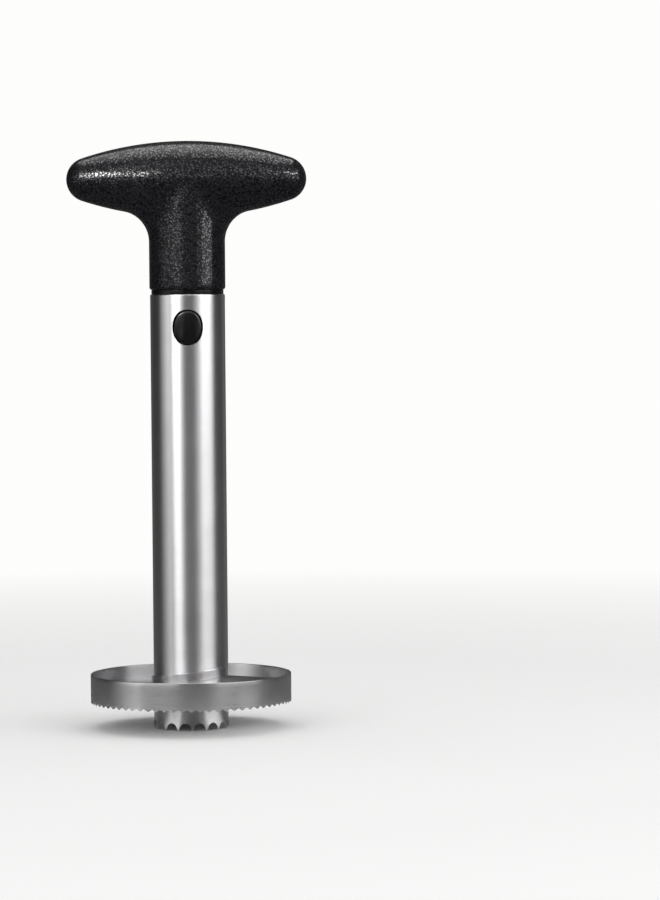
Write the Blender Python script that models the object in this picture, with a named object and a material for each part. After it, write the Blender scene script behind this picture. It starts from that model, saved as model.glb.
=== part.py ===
"""Pineapple slicer: a toothed coring tube with a ring and a spiral blade at its foot, and a T-handle
whose plug locks in the tube's top with two sprung buttons. Metres, +Z up, tooth tips at z = 0,
the tube on the Z axis, the crossbar along X and the front button at -Y."""

import math

import bmesh
import bpy
from mathutils import Vector

# The space left between two pieces that touch on the real object
SEAT_GAP = 0.0003
# How far a cutter runs past what it cuts
OVERRUN = 0.002
# Points of a mesh that lie closer than this share of the seat gap are one point
MERGE_SHARE = 0.01

# Coring tube
TUBE_RADIUS = 0.0156
TUBE_WALL = 0.0008
TUBE_HEIGHT = 0.1811
TUBE_TOP_ROUND = 0.0003
TUBE_TEETH = 16
TUBE_TOOTH_DEPTH = 0.003
TUBE_TOOTH_TIP_WIDTH = 0.0009
TUBE_TOOTH_STEPS = 8
WINDOW_HALF_WIDTH = 0.0063
WINDOW_HALF_HEIGHT = 0.0074
# From the tube's top down to the middle of its windows
WINDOW_DROP = 0.0137

# Peeling ring
RING_RADIUS = 0.042
RING_WALL = 0.0008
RING_FOOT = 0.0106
RING_HEIGHT = 0.012
RING_TEETH = 72
RING_TOOTH_DEPTH = 0.0011

# Spiral slicing blade
BLADE_PITCH = 0.010
BLADE_THICKNESS = 0.0009
BLADE_LIFT = 0.0008
BLADE_START_DEGREES = 330.0
BLADE_TURN_DEGREES = 360.0
BLADE_STEPS = 36
BLADE_EDGE_THICKNESS = 0.0002
BLADE_BEVEL_DEGREES = 8.0
BLADE_TEETH = 7
BLADE_TOOTH_DEGREES = 2.0
HUB_HEIGHT = 0.0045

# T-handle grip: a barrel-shaped crossbar on a round neck
BAR_HALF_LENGTH = 0.050
BAR_RADIUS = 0.0159
BAR_END_RADIUS = 0.0093
# From the neck's foot to the top of the crossbar
GRIP_HEIGHT = 0.062
NECK_RADIUS = 0.01585
NECK_FILLET = 0.0123
NECK_FOOT_ROUND = 0.0012
GRIP_WALL = 0.003
NECK_BORE_RADIUS = 0.0124
GRIP_LEVELS = 2
GRIP_DRAW_PASSES = 12
CAGE_SIDES = 8
CAGE_NECK_HEIGHT_SHARES = (0.62, 0.3)
CAGE_BAR_LENGTH_SHARES = (1.0, 0.9, 0.66)
CAGE_BAR_RADIUS_SHARES = (0.3, 0.7, 1.0)

# Plug that stands inside the tube
PLUG_LENGTH = 0.034
PLUG_WALL = 0.002
PLUG_WEB = 0.0026
PLUG_MOUTH_CHAMFER = 0.0006
COLLAR_RADIUS = 0.01505
COLLAR_HEIGHT = 0.0013
COLLAR_CHAMFER = 0.0003
SPIGOT_HEIGHT = 0.0055
SPIGOT_WALL = 0.002
POST_HALF_WIDTH = 0.0044
POST_HALF_THICKNESS = 0.001
POST_DROP = 0.0070
POST_PEG_LENGTH = 0.0012

# Screws from the plug up into the handle's core
SCREW_OFFSET = 0.0075
SCREW_RADIUS = 0.00145
SCREW_LENGTH = 0.017
SCREW_TIP_LENGTH = 0.0022
SCREW_HEAD_RADIUS = 0.0026
SCREW_HEAD_HEIGHT = 0.0017
SCREW_HEAD_FACE_SHARE = 0.7
SCREW_HEAD_SIDE_SHARE = 0.5
SCREW_BOSS_RADIUS = 0.0032

# End cap of the plug
END_CAP_THICKNESS = 0.0018
END_CAP_RIM_WIDTH = 0.0016
END_CAP_RIM_HEIGHT = 0.0022
END_CAP_CHAMFER = 0.0003
END_CAP_BEAD = 0.0004
END_CAP_BEAD_WIDTH = 0.0016
END_CAP_BEAD_HEIGHT = 0.0009

# Push buttons
BUTTON_CLEARANCE = 0.0006
BUTTON_PROUD = 0.0002
BUTTON_ROUND = 0.0009
BUTTON_TRAVEL = 0.003
FLANGE_LAP = 0.0012
FLANGE_BACK = 0.0086
BUTTON_PEG_RADIUS = 0.0019
OVAL_POWER = 2.15
OVAL_POINTS = 32

# Button springs
SPRING_WIRE = 0.0006
SPRING_RADIUS = 0.0027
SPRING_CURLS = 5
SPRING_CURL_POINTS = 9

# Ribbed core of the handle
CORE_RIB = 0.0024
CORE_WEB = 0.003
CORE_FLANGE = 0.0036
CORE_BAR_POCKETS = 3
PILOT_DEPTH = 0.008

# Facets
TURN_STEPS = 48
SMALL_TURN_STEPS = 20
SMOOTH_DEGREES = 32.0

BLACK_PLASTIC = ((0.018, 0.018, 0.020, 1.0), 0.48, 0.0)
GLOSS_BLACK = ((0.012, 0.012, 0.013, 1.0), 0.22, 0.0)
STAINLESS = ((0.62, 0.62, 0.63, 1.0), 0.28, 1.0)
SPRING_STEEL = ((0.50, 0.50, 0.52, 1.0), 0.35, 1.0)
GREY_NYLON = ((0.16, 0.16, 0.17, 1.0), 0.55, 0.0)

TUBE_BORE = TUBE_RADIUS - TUBE_WALL
WINDOW_DEPTH = TUBE_RADIUS + OVERRUN
WINDOW_HEIGHT = TUBE_HEIGHT - WINDOW_DROP
COLLAR_FOOT = TUBE_HEIGHT + SEAT_GAP
COLLAR_TOP = COLLAR_FOOT + COLLAR_HEIGHT
NECK_FOOT = COLLAR_TOP + SEAT_GAP
BAR_HEIGHT = NECK_FOOT + GRIP_HEIGHT - BAR_RADIUS
BAR_CAP_CENTRE = BAR_HALF_LENGTH - BAR_END_RADIUS
BAR_ARC_RADIUS = (BAR_CAP_CENTRE**2 + BAR_RADIUS**2 - BAR_END_RADIUS**2) / (
    (BAR_RADIUS - BAR_END_RADIUS) * 2
)
BAR_ARC_CENTRE = BAR_RADIUS - BAR_ARC_RADIUS

PLUG_RADIUS = TUBE_BORE - SEAT_GAP
PLUG_BORE = PLUG_RADIUS - PLUG_WALL
PLUG_FOOT = TUBE_HEIGHT - PLUG_LENGTH
WEB_UNDERSIDE = TUBE_HEIGHT - PLUG_WEB
SPIGOT_RADIUS = NECK_BORE_RADIUS - SEAT_GAP
SPIGOT_TOP = COLLAR_TOP + SPIGOT_HEIGHT

BUTTON_HALF_WIDTH = WINDOW_HALF_WIDTH - BUTTON_CLEARANCE
BUTTON_HALF_HEIGHT = WINDOW_HALF_HEIGHT - BUTTON_CLEARANCE
BUTTON_FACE = TUBE_RADIUS + BUTTON_PROUD
FLANGE_FRONT = PLUG_BORE - SEAT_GAP
# The button's peg comes up against the post's peg at the end of the press
BUTTON_PEG_LENGTH = (
    FLANGE_BACK - POST_HALF_THICKNESS - POST_PEG_LENGTH - BUTTON_TRAVEL - SEAT_GAP
)


def material(name, finish):
    """A plain Principled material in a piece's colour, roughness and metallic value."""
    colour, roughness, metallic = finish
    made = bpy.data.materials.new(name)
    made.use_nodes = True
    shader = made.node_tree.nodes["Principled BSDF"]
    shader.inputs["Base Color"].default_value = colour
    shader.inputs["Roughness"].default_value = roughness
    shader.inputs["Metallic"].default_value = metallic
    made.diffuse_color = colour
    return made


def piece(name, bm, finish=None):
    """Turns a bmesh into a smooth-shaded object, with a material where it is a real piece."""
    bmesh.ops.remove_doubles(bm, verts=bm.verts, dist=SEAT_GAP * MERGE_SHARE)
    bmesh.ops.recalc_face_normals(bm, faces=bm.faces)
    mesh = bpy.data.meshes.new(name)
    bm.to_mesh(mesh)
    bm.free()
    mesh.shade_smooth()
    mesh.set_sharp_from_angle(angle=math.radians(SMOOTH_DEGREES))
    obj = bpy.data.objects.new(name, mesh)
    bpy.context.scene.collection.objects.link(obj)
    if finish:
        mesh.materials.append(material(name, finish))
    return obj


def cutter(name, bm):
    """A piece that only shapes others."""
    obj = piece(name, bm)
    obj.hide_render = True
    obj.display_type = "WIRE"
    return obj


def combine(target, tool, operation="DIFFERENCE"):
    """Cuts the tool out of the target, or joins it on."""
    modifier = target.modifiers.new(tool.name, "BOOLEAN")
    modifier.operation = operation
    modifier.solver = "EXACT"
    modifier.object = tool


def settle(target):
    """Makes a piece's cuts and joins its own mesh, and marks the sharp edges they left."""
    evaluated = target.evaluated_get(bpy.context.evaluated_depsgraph_get())
    target.data = bpy.data.meshes.new_from_object(evaluated)
    for modifier in list(target.modifiers):
        tool = modifier.object
        target.modifiers.remove(modifier)
        bpy.data.objects.remove(tool)
    target.data.name = target.name
    target.data.shade_smooth()
    target.data.set_sharp_from_angle(angle=math.radians(SMOOTH_DEGREES))


def skin(rings, closed=False):
    """A bmesh skinned over rings of equal length. Open ends are filled, unless the rings close."""
    bm = bmesh.new()
    rows = [[bm.verts.new(point) for point in ring] for ring in rings]
    spans = list(zip(rows, rows[1:]))
    if closed:
        spans.append((rows[-1], rows[0]))
    for low, high in spans:
        for i in range(len(low)):
            j = (i + 1) % len(low)
            bm.faces.new((low[i], low[j], high[j], high[i]))
    if not closed:
        bm.faces.new(reversed(rows[0]))
        bm.faces.new(rows[-1])
    return bm


def turned_on_axis(outline, steps=TURN_STEPS, at=(0.0, 0.0)):
    """A turned solid whose outline starts and ends on the axis, at a place beside Z."""
    bm = bmesh.new()
    x0, y0 = at
    first = bm.verts.new((x0, y0, outline[0][1]))
    last = bm.verts.new((x0, y0, outline[-1][1]))
    columns = []
    for i in range(steps):
        angle = math.tau * i / steps
        c, s = math.cos(angle), math.sin(angle)
        columns.append([bm.verts.new((x0 + r * c, y0 + r * s, z)) for r, z in outline[1:-1]])
    for i in range(steps):
        here, there = columns[i], columns[(i + 1) % steps]
        bm.faces.new((first, here[0], there[0]))
        for k in range(len(here) - 1):
            bm.faces.new((here[k], here[k + 1], there[k + 1], there[k]))
        bm.faces.new((here[-1], last, there[-1]))
    return bm


def rod(start, end, radius, steps=SMALL_TURN_STEPS):
    """A round rod between two points."""
    along = (Vector(end) - Vector(start)).normalized()
    side = along.orthogonal().normalized()
    other = along.cross(side)
    rings = []
    for centre in (Vector(start), Vector(end)):
        ring = []
        for i in range(steps):
            angle = math.tau * i / steps
            ring.append(centre + (side * math.cos(angle) + other * math.sin(angle)) * radius)
        rings.append(ring)
    return skin(rings)


def block(low, high):
    """A box between two corners."""
    (x0, y0, z0), (x1, y1, z1) = low, high
    return skin(
        [
            [(x0, y0, z), (x1, y0, z), (x1, y1, z), (x0, y1, z)]
            for z in (z0, z1)
        ]
    )


def oval(half_width, half_height):
    """Points of the buttons' oval, as (x, z) about its centre."""
    points = []
    for i in range(OVAL_POINTS):
        angle = math.tau * i / OVAL_POINTS
        c, s = math.cos(angle), math.sin(angle)
        x = math.copysign(abs(c) ** (2 / OVAL_POWER), c) * half_width
        z = math.copysign(abs(s) ** (2 / OVAL_POWER), s) * half_height
        points.append((x, z))
    return points


def window_cutter(name, grow):
    """An oval bar that cuts the front and the rear window through a tube in one go."""
    rim = oval(WINDOW_HALF_WIDTH + grow, WINDOW_HALF_HEIGHT + grow)
    rings = [
        [(x, y, WINDOW_HEIGHT + z) for x, z in rim] for y in (-WINDOW_DEPTH, WINDOW_DEPTH)
    ]
    return cutter(name, skin(rings))


def toothed_band(radius, wall, foot, top, top_round, columns, rim_height, middle=()):
    """A thin round band whose lower rim follows rim_height(column) and whose top is even. Its
    walls are parted at the middle heights."""
    inner = radius - wall
    rings = []
    for i in range(columns):
        angle = math.tau * i / columns
        direction = Vector((math.cos(angle), math.sin(angle), 0))
        rim = foot + rim_height(i)
        outline = [
            (inner, rim),
            (radius, rim),
            *((radius, height) for height in middle),
            (radius, top - top_round),
            (radius - top_round, top),
            (inner, top),
            *((inner, height) for height in reversed(middle)),
        ]
        rings.append([direction * r + Vector((0, 0, z)) for r, z in outline])
    return skin(rings, closed=True)


def tube_rim(column):
    """Height of the tube's rim above its tooth tips: an arched gullet between two flat tips."""
    pitch = math.tau * TUBE_RADIUS / TUBE_TEETH
    tip_share = TUBE_TOOTH_TIP_WIDTH / pitch
    place = (column % TUBE_TOOTH_STEPS) / TUBE_TOOTH_STEPS
    across = (place - tip_share) / (1 - tip_share)
    if across <= 0:
        return 0.0
    return TUBE_TOOTH_DEPTH * math.sqrt(1 - (across * 2 - 1) ** 2)


def make_tube():
    """The coring tube, with its ring of arched teeth and its two button windows."""
    band = toothed_band(
        TUBE_RADIUS,
        TUBE_WALL,
        0.0,
        TUBE_HEIGHT,
        TUBE_TOP_ROUND,
        TUBE_TEETH * TUBE_TOOTH_STEPS,
        tube_rim,
        [WINDOW_HEIGHT - WINDOW_HALF_HEIGHT - TUBE_WALL],
    )
    tube = piece("tube", band, STAINLESS)
    combine(tube, window_cutter("tube_window_cutter", 0.0))
    settle(tube)


def make_peeling_ring():
    """The round band that parts the flesh from the shell, with a saw-toothed lower edge."""
    band = toothed_band(
        RING_RADIUS,
        RING_WALL,
        RING_FOOT,
        RING_FOOT + RING_HEIGHT,
        RING_WALL / 2,
        RING_TEETH * 2,
        lambda column: RING_TOOTH_DEPTH * (column % 2),
    )
    piece("peeling_ring", band, STAINLESS)


def make_slicing_blade():
    """One turn of a spiral blade with a hub flange round the tube. Its leading edge is ground thin
    from above and toothed, and its trailing edge ends square above the leading one."""
    hub = TUBE_RADIUS + SEAT_GAP
    rim = RING_RADIUS - RING_WALL - SEAT_GAP
    underside = RING_FOOT + BLADE_LIFT

    def on_blade(radius, degrees, above):
        turned_by = degrees - BLADE_START_DEGREES
        angle = math.radians(degrees)
        height = underside + BLADE_PITCH * turned_by / BLADE_TURN_DEGREES + above
        return Vector((radius * math.cos(angle), radius * math.sin(angle), height))

    bm = bmesh.new()
    angles = [BLADE_START_DEGREES + BLADE_BEVEL_DEGREES]
    for i in range(1, BLADE_STEPS + 1):
        share = i / BLADE_STEPS
        angles.append(
            BLADE_START_DEGREES
            + BLADE_BEVEL_DEGREES
            + (BLADE_TURN_DEGREES - BLADE_BEVEL_DEGREES) * share
        )
    outline = [
        (hub, 0.0),
        (rim, 0.0),
        (rim, BLADE_THICKNESS),
        (hub + BLADE_THICKNESS, BLADE_THICKNESS),
        (hub + BLADE_THICKNESS, HUB_HEIGHT),
        (hub, HUB_HEIGHT),
    ]
    rows = [[bm.verts.new(on_blade(r, a, h)) for r, h in outline] for a in angles]
    for low, high in zip(rows, rows[1:]):
        for i in range(len(outline)):
            j = (i + 1) % len(outline)
            bm.faces.new((low[i], low[j], high[j], high[i]))
    bm.faces.new(rows[-1])

    # The toothed edge is a zigzag in front of the first section, thin from top to bottom
    zigzag = []
    for i in range(BLADE_TEETH * 2 + 1):
        radius = hub + (rim - hub) * i / (BLADE_TEETH * 2)
        zigzag.append((radius, BLADE_START_DEGREES + BLADE_TOOTH_DEGREES * ((i + 1) % 2)))
    bottom = [bm.verts.new(on_blade(r, a, 0.0)) for r, a in zigzag]
    top = [bm.verts.new(on_blade(r, a, BLADE_EDGE_THICKNESS)) for r, a in zigzag]
    for i in range(len(zigzag) - 1):
        bm.faces.new((bottom[i], bottom[i + 1], top[i + 1], top[i]))
    first = rows[0]
    bm.faces.new([*reversed(bottom), first[0], first[1]])
    bm.faces.new([*top, first[2], first[3]])
    bm.faces.new((bottom[-1], first[1], first[2], top[-1]))
    bm.faces.new((bottom[0], top[0], first[3], first[4], first[5], first[0]))
    bmesh.ops.triangulate(bm, faces=[f for f in bm.faces if len(f.verts) > 4])
    piece("slicing_blade", bm, STAINLESS)


def bar_radius_at(x):
    """The crossbar's radius at a distance from its middle, on its long arc."""
    return math.sqrt(BAR_ARC_RADIUS**2 - x**2) + BAR_ARC_CENTRE


def bar_outline(inset):
    """Half-plane points (x, radius) of the crossbar drawn in by an inset, end to end: a long
    shallow arc with a round cap at each end."""
    steps = TURN_STEPS // 4
    cap = BAR_END_RADIUS - inset
    arc = BAR_ARC_RADIUS - inset
    lean = math.atan2(BAR_CAP_CENTRE, -BAR_ARC_CENTRE)
    right = []
    for i in range(steps // 2 + 1):
        angle = lean + (math.pi / 2 - lean) * (1 - i / (steps // 2))
        right.append((BAR_CAP_CENTRE + cap * math.sin(angle), cap * math.cos(angle)))
    for i in range(1, steps // 2 + 1):
        angle = lean * (1 - i / (steps // 2))
        right.append((arc * math.sin(angle), arc * math.cos(angle) + BAR_ARC_CENTRE))
    left = [(-x, radius) for x, radius in reversed(right[:-1])]
    return right + left


def bar_solid(inset, steps):
    """The crossbar's form drawn in by an inset, turned about its own axis along X."""
    points = bar_outline(inset)
    bm = bmesh.new()
    rows = []
    for x, radius in points[1:-1]:
        row = []
        for i in range(steps):
            angle = math.tau * i / steps
            row.append(
                bm.verts.new((x, radius * math.cos(angle), BAR_HEIGHT + radius * math.sin(angle)))
            )
        rows.append(row)
    for low, high in zip(rows, rows[1:]):
        for i in range(steps):
            j = (i + 1) % steps
            bm.faces.new((low[i], low[j], high[j], high[i]))
    for row, x in ((rows[0], points[0][0]), (rows[-1], points[-1][0])):
        tip = bm.verts.new((x, 0.0, BAR_HEIGHT))
        for i in range(steps):
            bm.faces.new((row[i], row[(i + 1) % steps], tip))
    return bm


def bar_distance(point):
    """How far a point lies outside the crossbar, and the straight way out."""
    across = Vector((0, point.y, point.z - BAR_HEIGHT))
    radius = across.length
    outward = across.normalized() if radius else Vector((0, 0, 1))
    side = math.copysign(1, point.x)
    if abs(point.x) * -BAR_ARC_CENTRE > (radius - BAR_ARC_CENTRE) * BAR_CAP_CENTRE:
        away = Vector((abs(point.x) - BAR_CAP_CENTRE, radius))
        distance = away.length - BAR_END_RADIUS
    else:
        away = Vector((abs(point.x), radius - BAR_ARC_CENTRE))
        distance = away.length - BAR_ARC_RADIUS
    away.normalize()
    return distance, Vector((side * away.x, 0, 0)) + outward * away.y


def neck_distance(point):
    """How far a point lies outside the endless upright neck, and the straight way out."""
    across = Vector((point.x, point.y, 0))
    return across.length - NECK_RADIUS, across.normalized()


def grip_distance(point):
    """How far a point lies outside the grip, and the straight way out. In the crook between neck
    and crossbar the surface is the one that a ball of the fillet's radius would leave."""
    bar, bar_out = bar_distance(point)
    neck, neck_out = neck_distance(point)
    if point.z > BAR_HEIGHT:
        return bar, bar_out
    u, v = NECK_FILLET - bar, NECK_FILLET - neck
    cosine = min(bar_out.dot(neck_out), 1 - 1e-6)
    sine_squared = 1 - cosine**2
    from_bar = (u - cosine * v) / sine_squared
    from_neck = (v - cosine * u) / sine_squared
    if from_bar > 0 and from_neck > 0:
        to_ball = bar_out * from_bar + neck_out * from_neck
        return NECK_FILLET - to_ball.length, to_ball.normalized()
    return (bar, bar_out) if bar < neck else (neck, neck_out)


def grip_cage():
    """A coarse T of quads: the crossbar as rings of eight points, with the neck drawn down from
    the hole that the lower middle of the bar leaves."""
    bm = bmesh.new()
    sides = CAGE_SIDES
    left = [
        (-BAR_HALF_LENGTH * length, BAR_RADIUS * radius)
        for length, radius in zip(CAGE_BAR_LENGTH_SHARES, CAGE_BAR_RADIUS_SHARES)
    ]
    left.append((-NECK_RADIUS, BAR_RADIUS))
    stations = [*left, (0.0, BAR_RADIUS), *((-x, radius) for x, radius in reversed(left))]
    rows = []
    for x, radius in stations:
        row = []
        for i in range(sides):
            angle = math.tau * i / sides
            y = radius * math.cos(angle)
            z = BAR_HEIGHT + radius * math.sin(angle)
            row.append(bm.verts.new((x, y, z)))
        rows.append(row)
    middle = len(stations) // 2
    for k, (low, high) in enumerate(zip(rows, rows[1:])):
        for i in range(sides):
            in_neck = k in (middle - 1, middle) and i >= sides // 2
            if not in_neck:
                j = (i + 1) % sides
                bm.faces.new((low[i], high[i], high[j], low[j]))
    bm.faces.new(rows[0])
    bm.faces.new(reversed(rows[-1]))

    below = [i % sides for i in range(sides // 2, sides + 1)]
    hole = [rows[middle + 1][i] for i in below]
    hole += [rows[middle][0]]
    hole += [rows[middle - 1][i] for i in reversed(below)]
    hole += [rows[middle][sides // 2]]
    drop = BAR_HEIGHT - NECK_FOOT
    upper = hole
    for share in (*CAGE_NECK_HEIGHT_SHARES, 0.0):
        height = NECK_FOOT + NECK_FOOT_ROUND + (drop - NECK_FOOT_ROUND) * share
        lower = []
        for vert in hole:
            angle = math.atan2(vert.co.y, vert.co.x)
            lower.append(
                bm.verts.new(
                    (NECK_RADIUS * math.cos(angle), NECK_RADIUS * math.sin(angle), height)
                )
            )
        for i in range(len(hole)):
            j = (i + 1) % len(hole)
            bm.faces.new((upper[i], upper[j], lower[j], lower[i]))
        upper = lower
    return bm


def make_grip():
    """The T-handle's moulded shell. A coarse cage is subdivided, drawn onto the T's true form and
    closed with a rounded foot, and the crossbar's and neck's hollows are cut out of it."""
    cage = cutter("grip_cage", grip_cage())
    subdivision = cage.modifiers.new("smooth", "SUBSURF")
    subdivision.levels = GRIP_LEVELS
    subdivision.render_levels = GRIP_LEVELS
    bm = bmesh.new()
    bm.from_object(cage, bpy.context.evaluated_depsgraph_get())
    bpy.data.objects.remove(cage)
    for vert in bm.verts:
        for _ in range(GRIP_DRAW_PASSES):
            distance, out = grip_distance(vert.co)
            vert.co -= out * distance
    rim = [edge for edge in bm.edges if edge.is_boundary]
    rim_height = NECK_FOOT + NECK_FOOT_ROUND
    for vert in {v for edge in rim for v in edge.verts}:
        vert.co.z = rim_height
    for angle in (math.radians(30), math.radians(60), math.radians(90)):
        ring = bmesh.ops.extrude_edge_only(bm, edges=rim)["geom"]
        rim = [item for item in ring if isinstance(item, bmesh.types.BMEdge)]
        radius = NECK_RADIUS - NECK_FOOT_ROUND * (1 - math.cos(angle))
        for vert in [item for item in ring if isinstance(item, bmesh.types.BMVert)]:
            around = math.atan2(vert.co.y, vert.co.x)
            vert.co.x = radius * math.cos(around)
            vert.co.y = radius * math.sin(around)
            vert.co.z = rim_height - NECK_FOOT_ROUND * math.sin(angle)
    bmesh.ops.contextual_create(bm, geom=rim)
    grip = piece("grip", bm, BLACK_PLASTIC)
    combine(grip, cutter("grip_bar_hollow", bar_solid(GRIP_WALL, TURN_STEPS // 2)))
    bore = rod(
        (0, 0, NECK_FOOT - OVERRUN), (0, 0, BAR_HEIGHT), NECK_BORE_RADIUS, TURN_STEPS
    )
    combine(grip, cutter("grip_neck_bore", bore))
    settle(grip)


def make_handle_core():
    """The stiff T that the grip is moulded over. Its bar and its neck are pocketed from front and
    back, which leaves a middle web and ribs."""
    inset = GRIP_WALL + SEAT_GAP
    foot = SPIGOT_TOP + SEAT_GAP
    core = piece("handle_core", bar_solid(inset, TURN_STEPS // 2), GREY_NYLON)
    column = rod((0, 0, foot), (0, 0, BAR_HEIGHT), SPIGOT_RADIUS, TURN_STEPS)
    combine(core, cutter("core_column", column), "UNION")

    first = SPIGOT_RADIUS
    last = BAR_CAP_CENTRE
    pitch = (last - first) / CORE_BAR_POCKETS
    bays = [(-first + CORE_RIB, -CORE_RIB / 2), (CORE_RIB / 2, first - CORE_RIB)]
    for i in range(CORE_BAR_POCKETS):
        near = first + pitch * i
        far = near + pitch - CORE_RIB
        bays += [(near, far), (-far, -near)]
    web = CORE_WEB / 2
    reach = BAR_RADIUS
    for i, (low, high) in enumerate(bays):
        half = bar_radius_at(max(-low, high)) - inset - CORE_FLANGE
        for side, (y0, y1) in (("front", (-reach, -web)), ("back", (web, reach))):
            hollow = block((low, y0, BAR_HEIGHT - half), (high, y1, BAR_HEIGHT + half))
            combine(core, cutter(f"core_{side}_pocket_{i}", hollow))
    neck_low = foot + PILOT_DEPTH + CORE_RIB
    neck_high = BAR_HEIGHT - BAR_RADIUS + inset
    for i, (low, high) in enumerate(bays[:2]):
        for side, (y0, y1) in (("front", (-reach, -web)), ("back", (web, reach))):
            hollow = block((low, y0, neck_low), (high, y1, neck_high))
            combine(core, cutter(f"core_neck_{side}_pocket_{i}", hollow))
    for x in (-SCREW_OFFSET, SCREW_OFFSET):
        hole = rod((x, 0, foot - OVERRUN), (x, 0, foot + PILOT_DEPTH), SCREW_RADIUS + SEAT_GAP)
        combine(core, cutter(f"core_pilot_{x:+.4f}", hole))
    settle(core)


def make_plug():
    """The plug: a cup that fits the tube's bore, a collar that rests on the tube's rim, and a
    spigot up into the neck. A post hangs in its middle and backs both button springs."""
    bead_low = PLUG_FOOT + END_CAP_BEAD_HEIGHT
    bead_high = bead_low + END_CAP_BEAD_WIDTH
    groove = PLUG_BORE + END_CAP_BEAD
    outline = [
        (0.0, WEB_UNDERSIDE),
        (PLUG_BORE, WEB_UNDERSIDE),
        (PLUG_BORE, bead_high),
        (groove, bead_high - END_CAP_BEAD),
        (groove, bead_low + END_CAP_BEAD),
        (PLUG_BORE, bead_low),
        (PLUG_BORE, PLUG_FOOT),
        (PLUG_RADIUS - PLUG_MOUTH_CHAMFER, PLUG_FOOT),
        (PLUG_RADIUS, PLUG_FOOT + PLUG_MOUTH_CHAMFER),
        (PLUG_RADIUS, COLLAR_FOOT),
        (COLLAR_RADIUS, COLLAR_FOOT),
        (COLLAR_RADIUS, COLLAR_TOP - COLLAR_CHAMFER),
        (COLLAR_RADIUS - COLLAR_CHAMFER, COLLAR_TOP),
        (SPIGOT_RADIUS, COLLAR_TOP),
        (SPIGOT_RADIUS, SPIGOT_TOP),
        (SPIGOT_RADIUS - SPIGOT_WALL, SPIGOT_TOP),
        (SPIGOT_RADIUS - SPIGOT_WALL, TUBE_HEIGHT),
        (0.0, TUBE_HEIGHT),
    ]
    plug = piece("plug", turned_on_axis(outline), GLOSS_BLACK)
    combine(plug, window_cutter("plug_window_cutter", -BUTTON_CLEARANCE / 2))
    post = block(
        (-POST_HALF_WIDTH, -POST_HALF_THICKNESS, WINDOW_HEIGHT - POST_DROP),
        (POST_HALF_WIDTH, POST_HALF_THICKNESS, WEB_UNDERSIDE + PLUG_WEB / 2),
    )
    combine(plug, cutter("plug_post", post), "UNION")
    peg_reach = POST_HALF_THICKNESS + POST_PEG_LENGTH
    pegs = rod(
        (0, -peg_reach, WINDOW_HEIGHT), (0, peg_reach, WINDOW_HEIGHT), BUTTON_PEG_RADIUS
    )
    combine(plug, cutter("plug_spring_pegs", pegs), "UNION")
    for x in (-SCREW_OFFSET, SCREW_OFFSET):
        boss = rod((x, 0, WEB_UNDERSIDE + PLUG_WEB / 2), (x, 0, SPIGOT_TOP), SCREW_BOSS_RADIUS)
        combine(plug, cutter(f"plug_boss_{x:+.4f}", boss), "UNION")
    for x in (-SCREW_OFFSET, SCREW_OFFSET):
        hole = rod(
            (x, 0, WEB_UNDERSIDE - OVERRUN),
            (x, 0, SPIGOT_TOP + OVERRUN),
            SCREW_RADIUS + SEAT_GAP,
        )
        combine(plug, cutter(f"plug_screw_hole_{x:+.4f}", hole))
    settle(plug)


def make_plug_screws():
    """Two pan-head screws, with their heads under the plug's web and their points in the core."""
    bearing = WEB_UNDERSIDE - SEAT_GAP
    head_foot = bearing - SCREW_HEAD_HEIGHT
    tip = bearing + SCREW_LENGTH
    outline = [
        (0.0, head_foot),
        (SCREW_HEAD_RADIUS * SCREW_HEAD_FACE_SHARE, head_foot),
        (SCREW_HEAD_RADIUS, bearing - SCREW_HEAD_HEIGHT * SCREW_HEAD_SIDE_SHARE),
        (SCREW_HEAD_RADIUS, bearing),
        (SCREW_RADIUS, bearing),
        (SCREW_RADIUS, tip - SCREW_TIP_LENGTH),
        (0.0, tip),
    ]
    for name, x in (("plug_screw_left", -SCREW_OFFSET), ("plug_screw_right", SCREW_OFFSET)):
        piece(name, turned_on_axis(outline, SMALL_TURN_STEPS, (x, 0.0)), SPRING_STEEL)


def make_plug_end_cap():
    """A snap-in disc in the plug's mouth. The bead on its rim sits in the plug's groove."""
    outer = PLUG_BORE - SEAT_GAP
    foot = PLUG_FOOT
    floor = foot + END_CAP_THICKNESS
    top = floor + END_CAP_RIM_HEIGHT
    bead_low = foot + END_CAP_BEAD_HEIGHT + SEAT_GAP
    bead_high = bead_low + END_CAP_BEAD_WIDTH - SEAT_GAP * 2
    inner = outer - END_CAP_RIM_WIDTH
    outline = [
        (0.0, foot),
        (outer - END_CAP_CHAMFER, foot),
        (outer, foot + END_CAP_CHAMFER),
        (outer, bead_low),
        (outer + END_CAP_BEAD, bead_low + END_CAP_BEAD),
        (outer + END_CAP_BEAD, bead_high - END_CAP_BEAD),
        (outer, bead_high),
        (outer, top),
        (inner, top),
        (inner, floor),
        (0.0, floor),
    ]
    piece("plug_end_cap", turned_on_axis(outline), GLOSS_BLACK)


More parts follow.
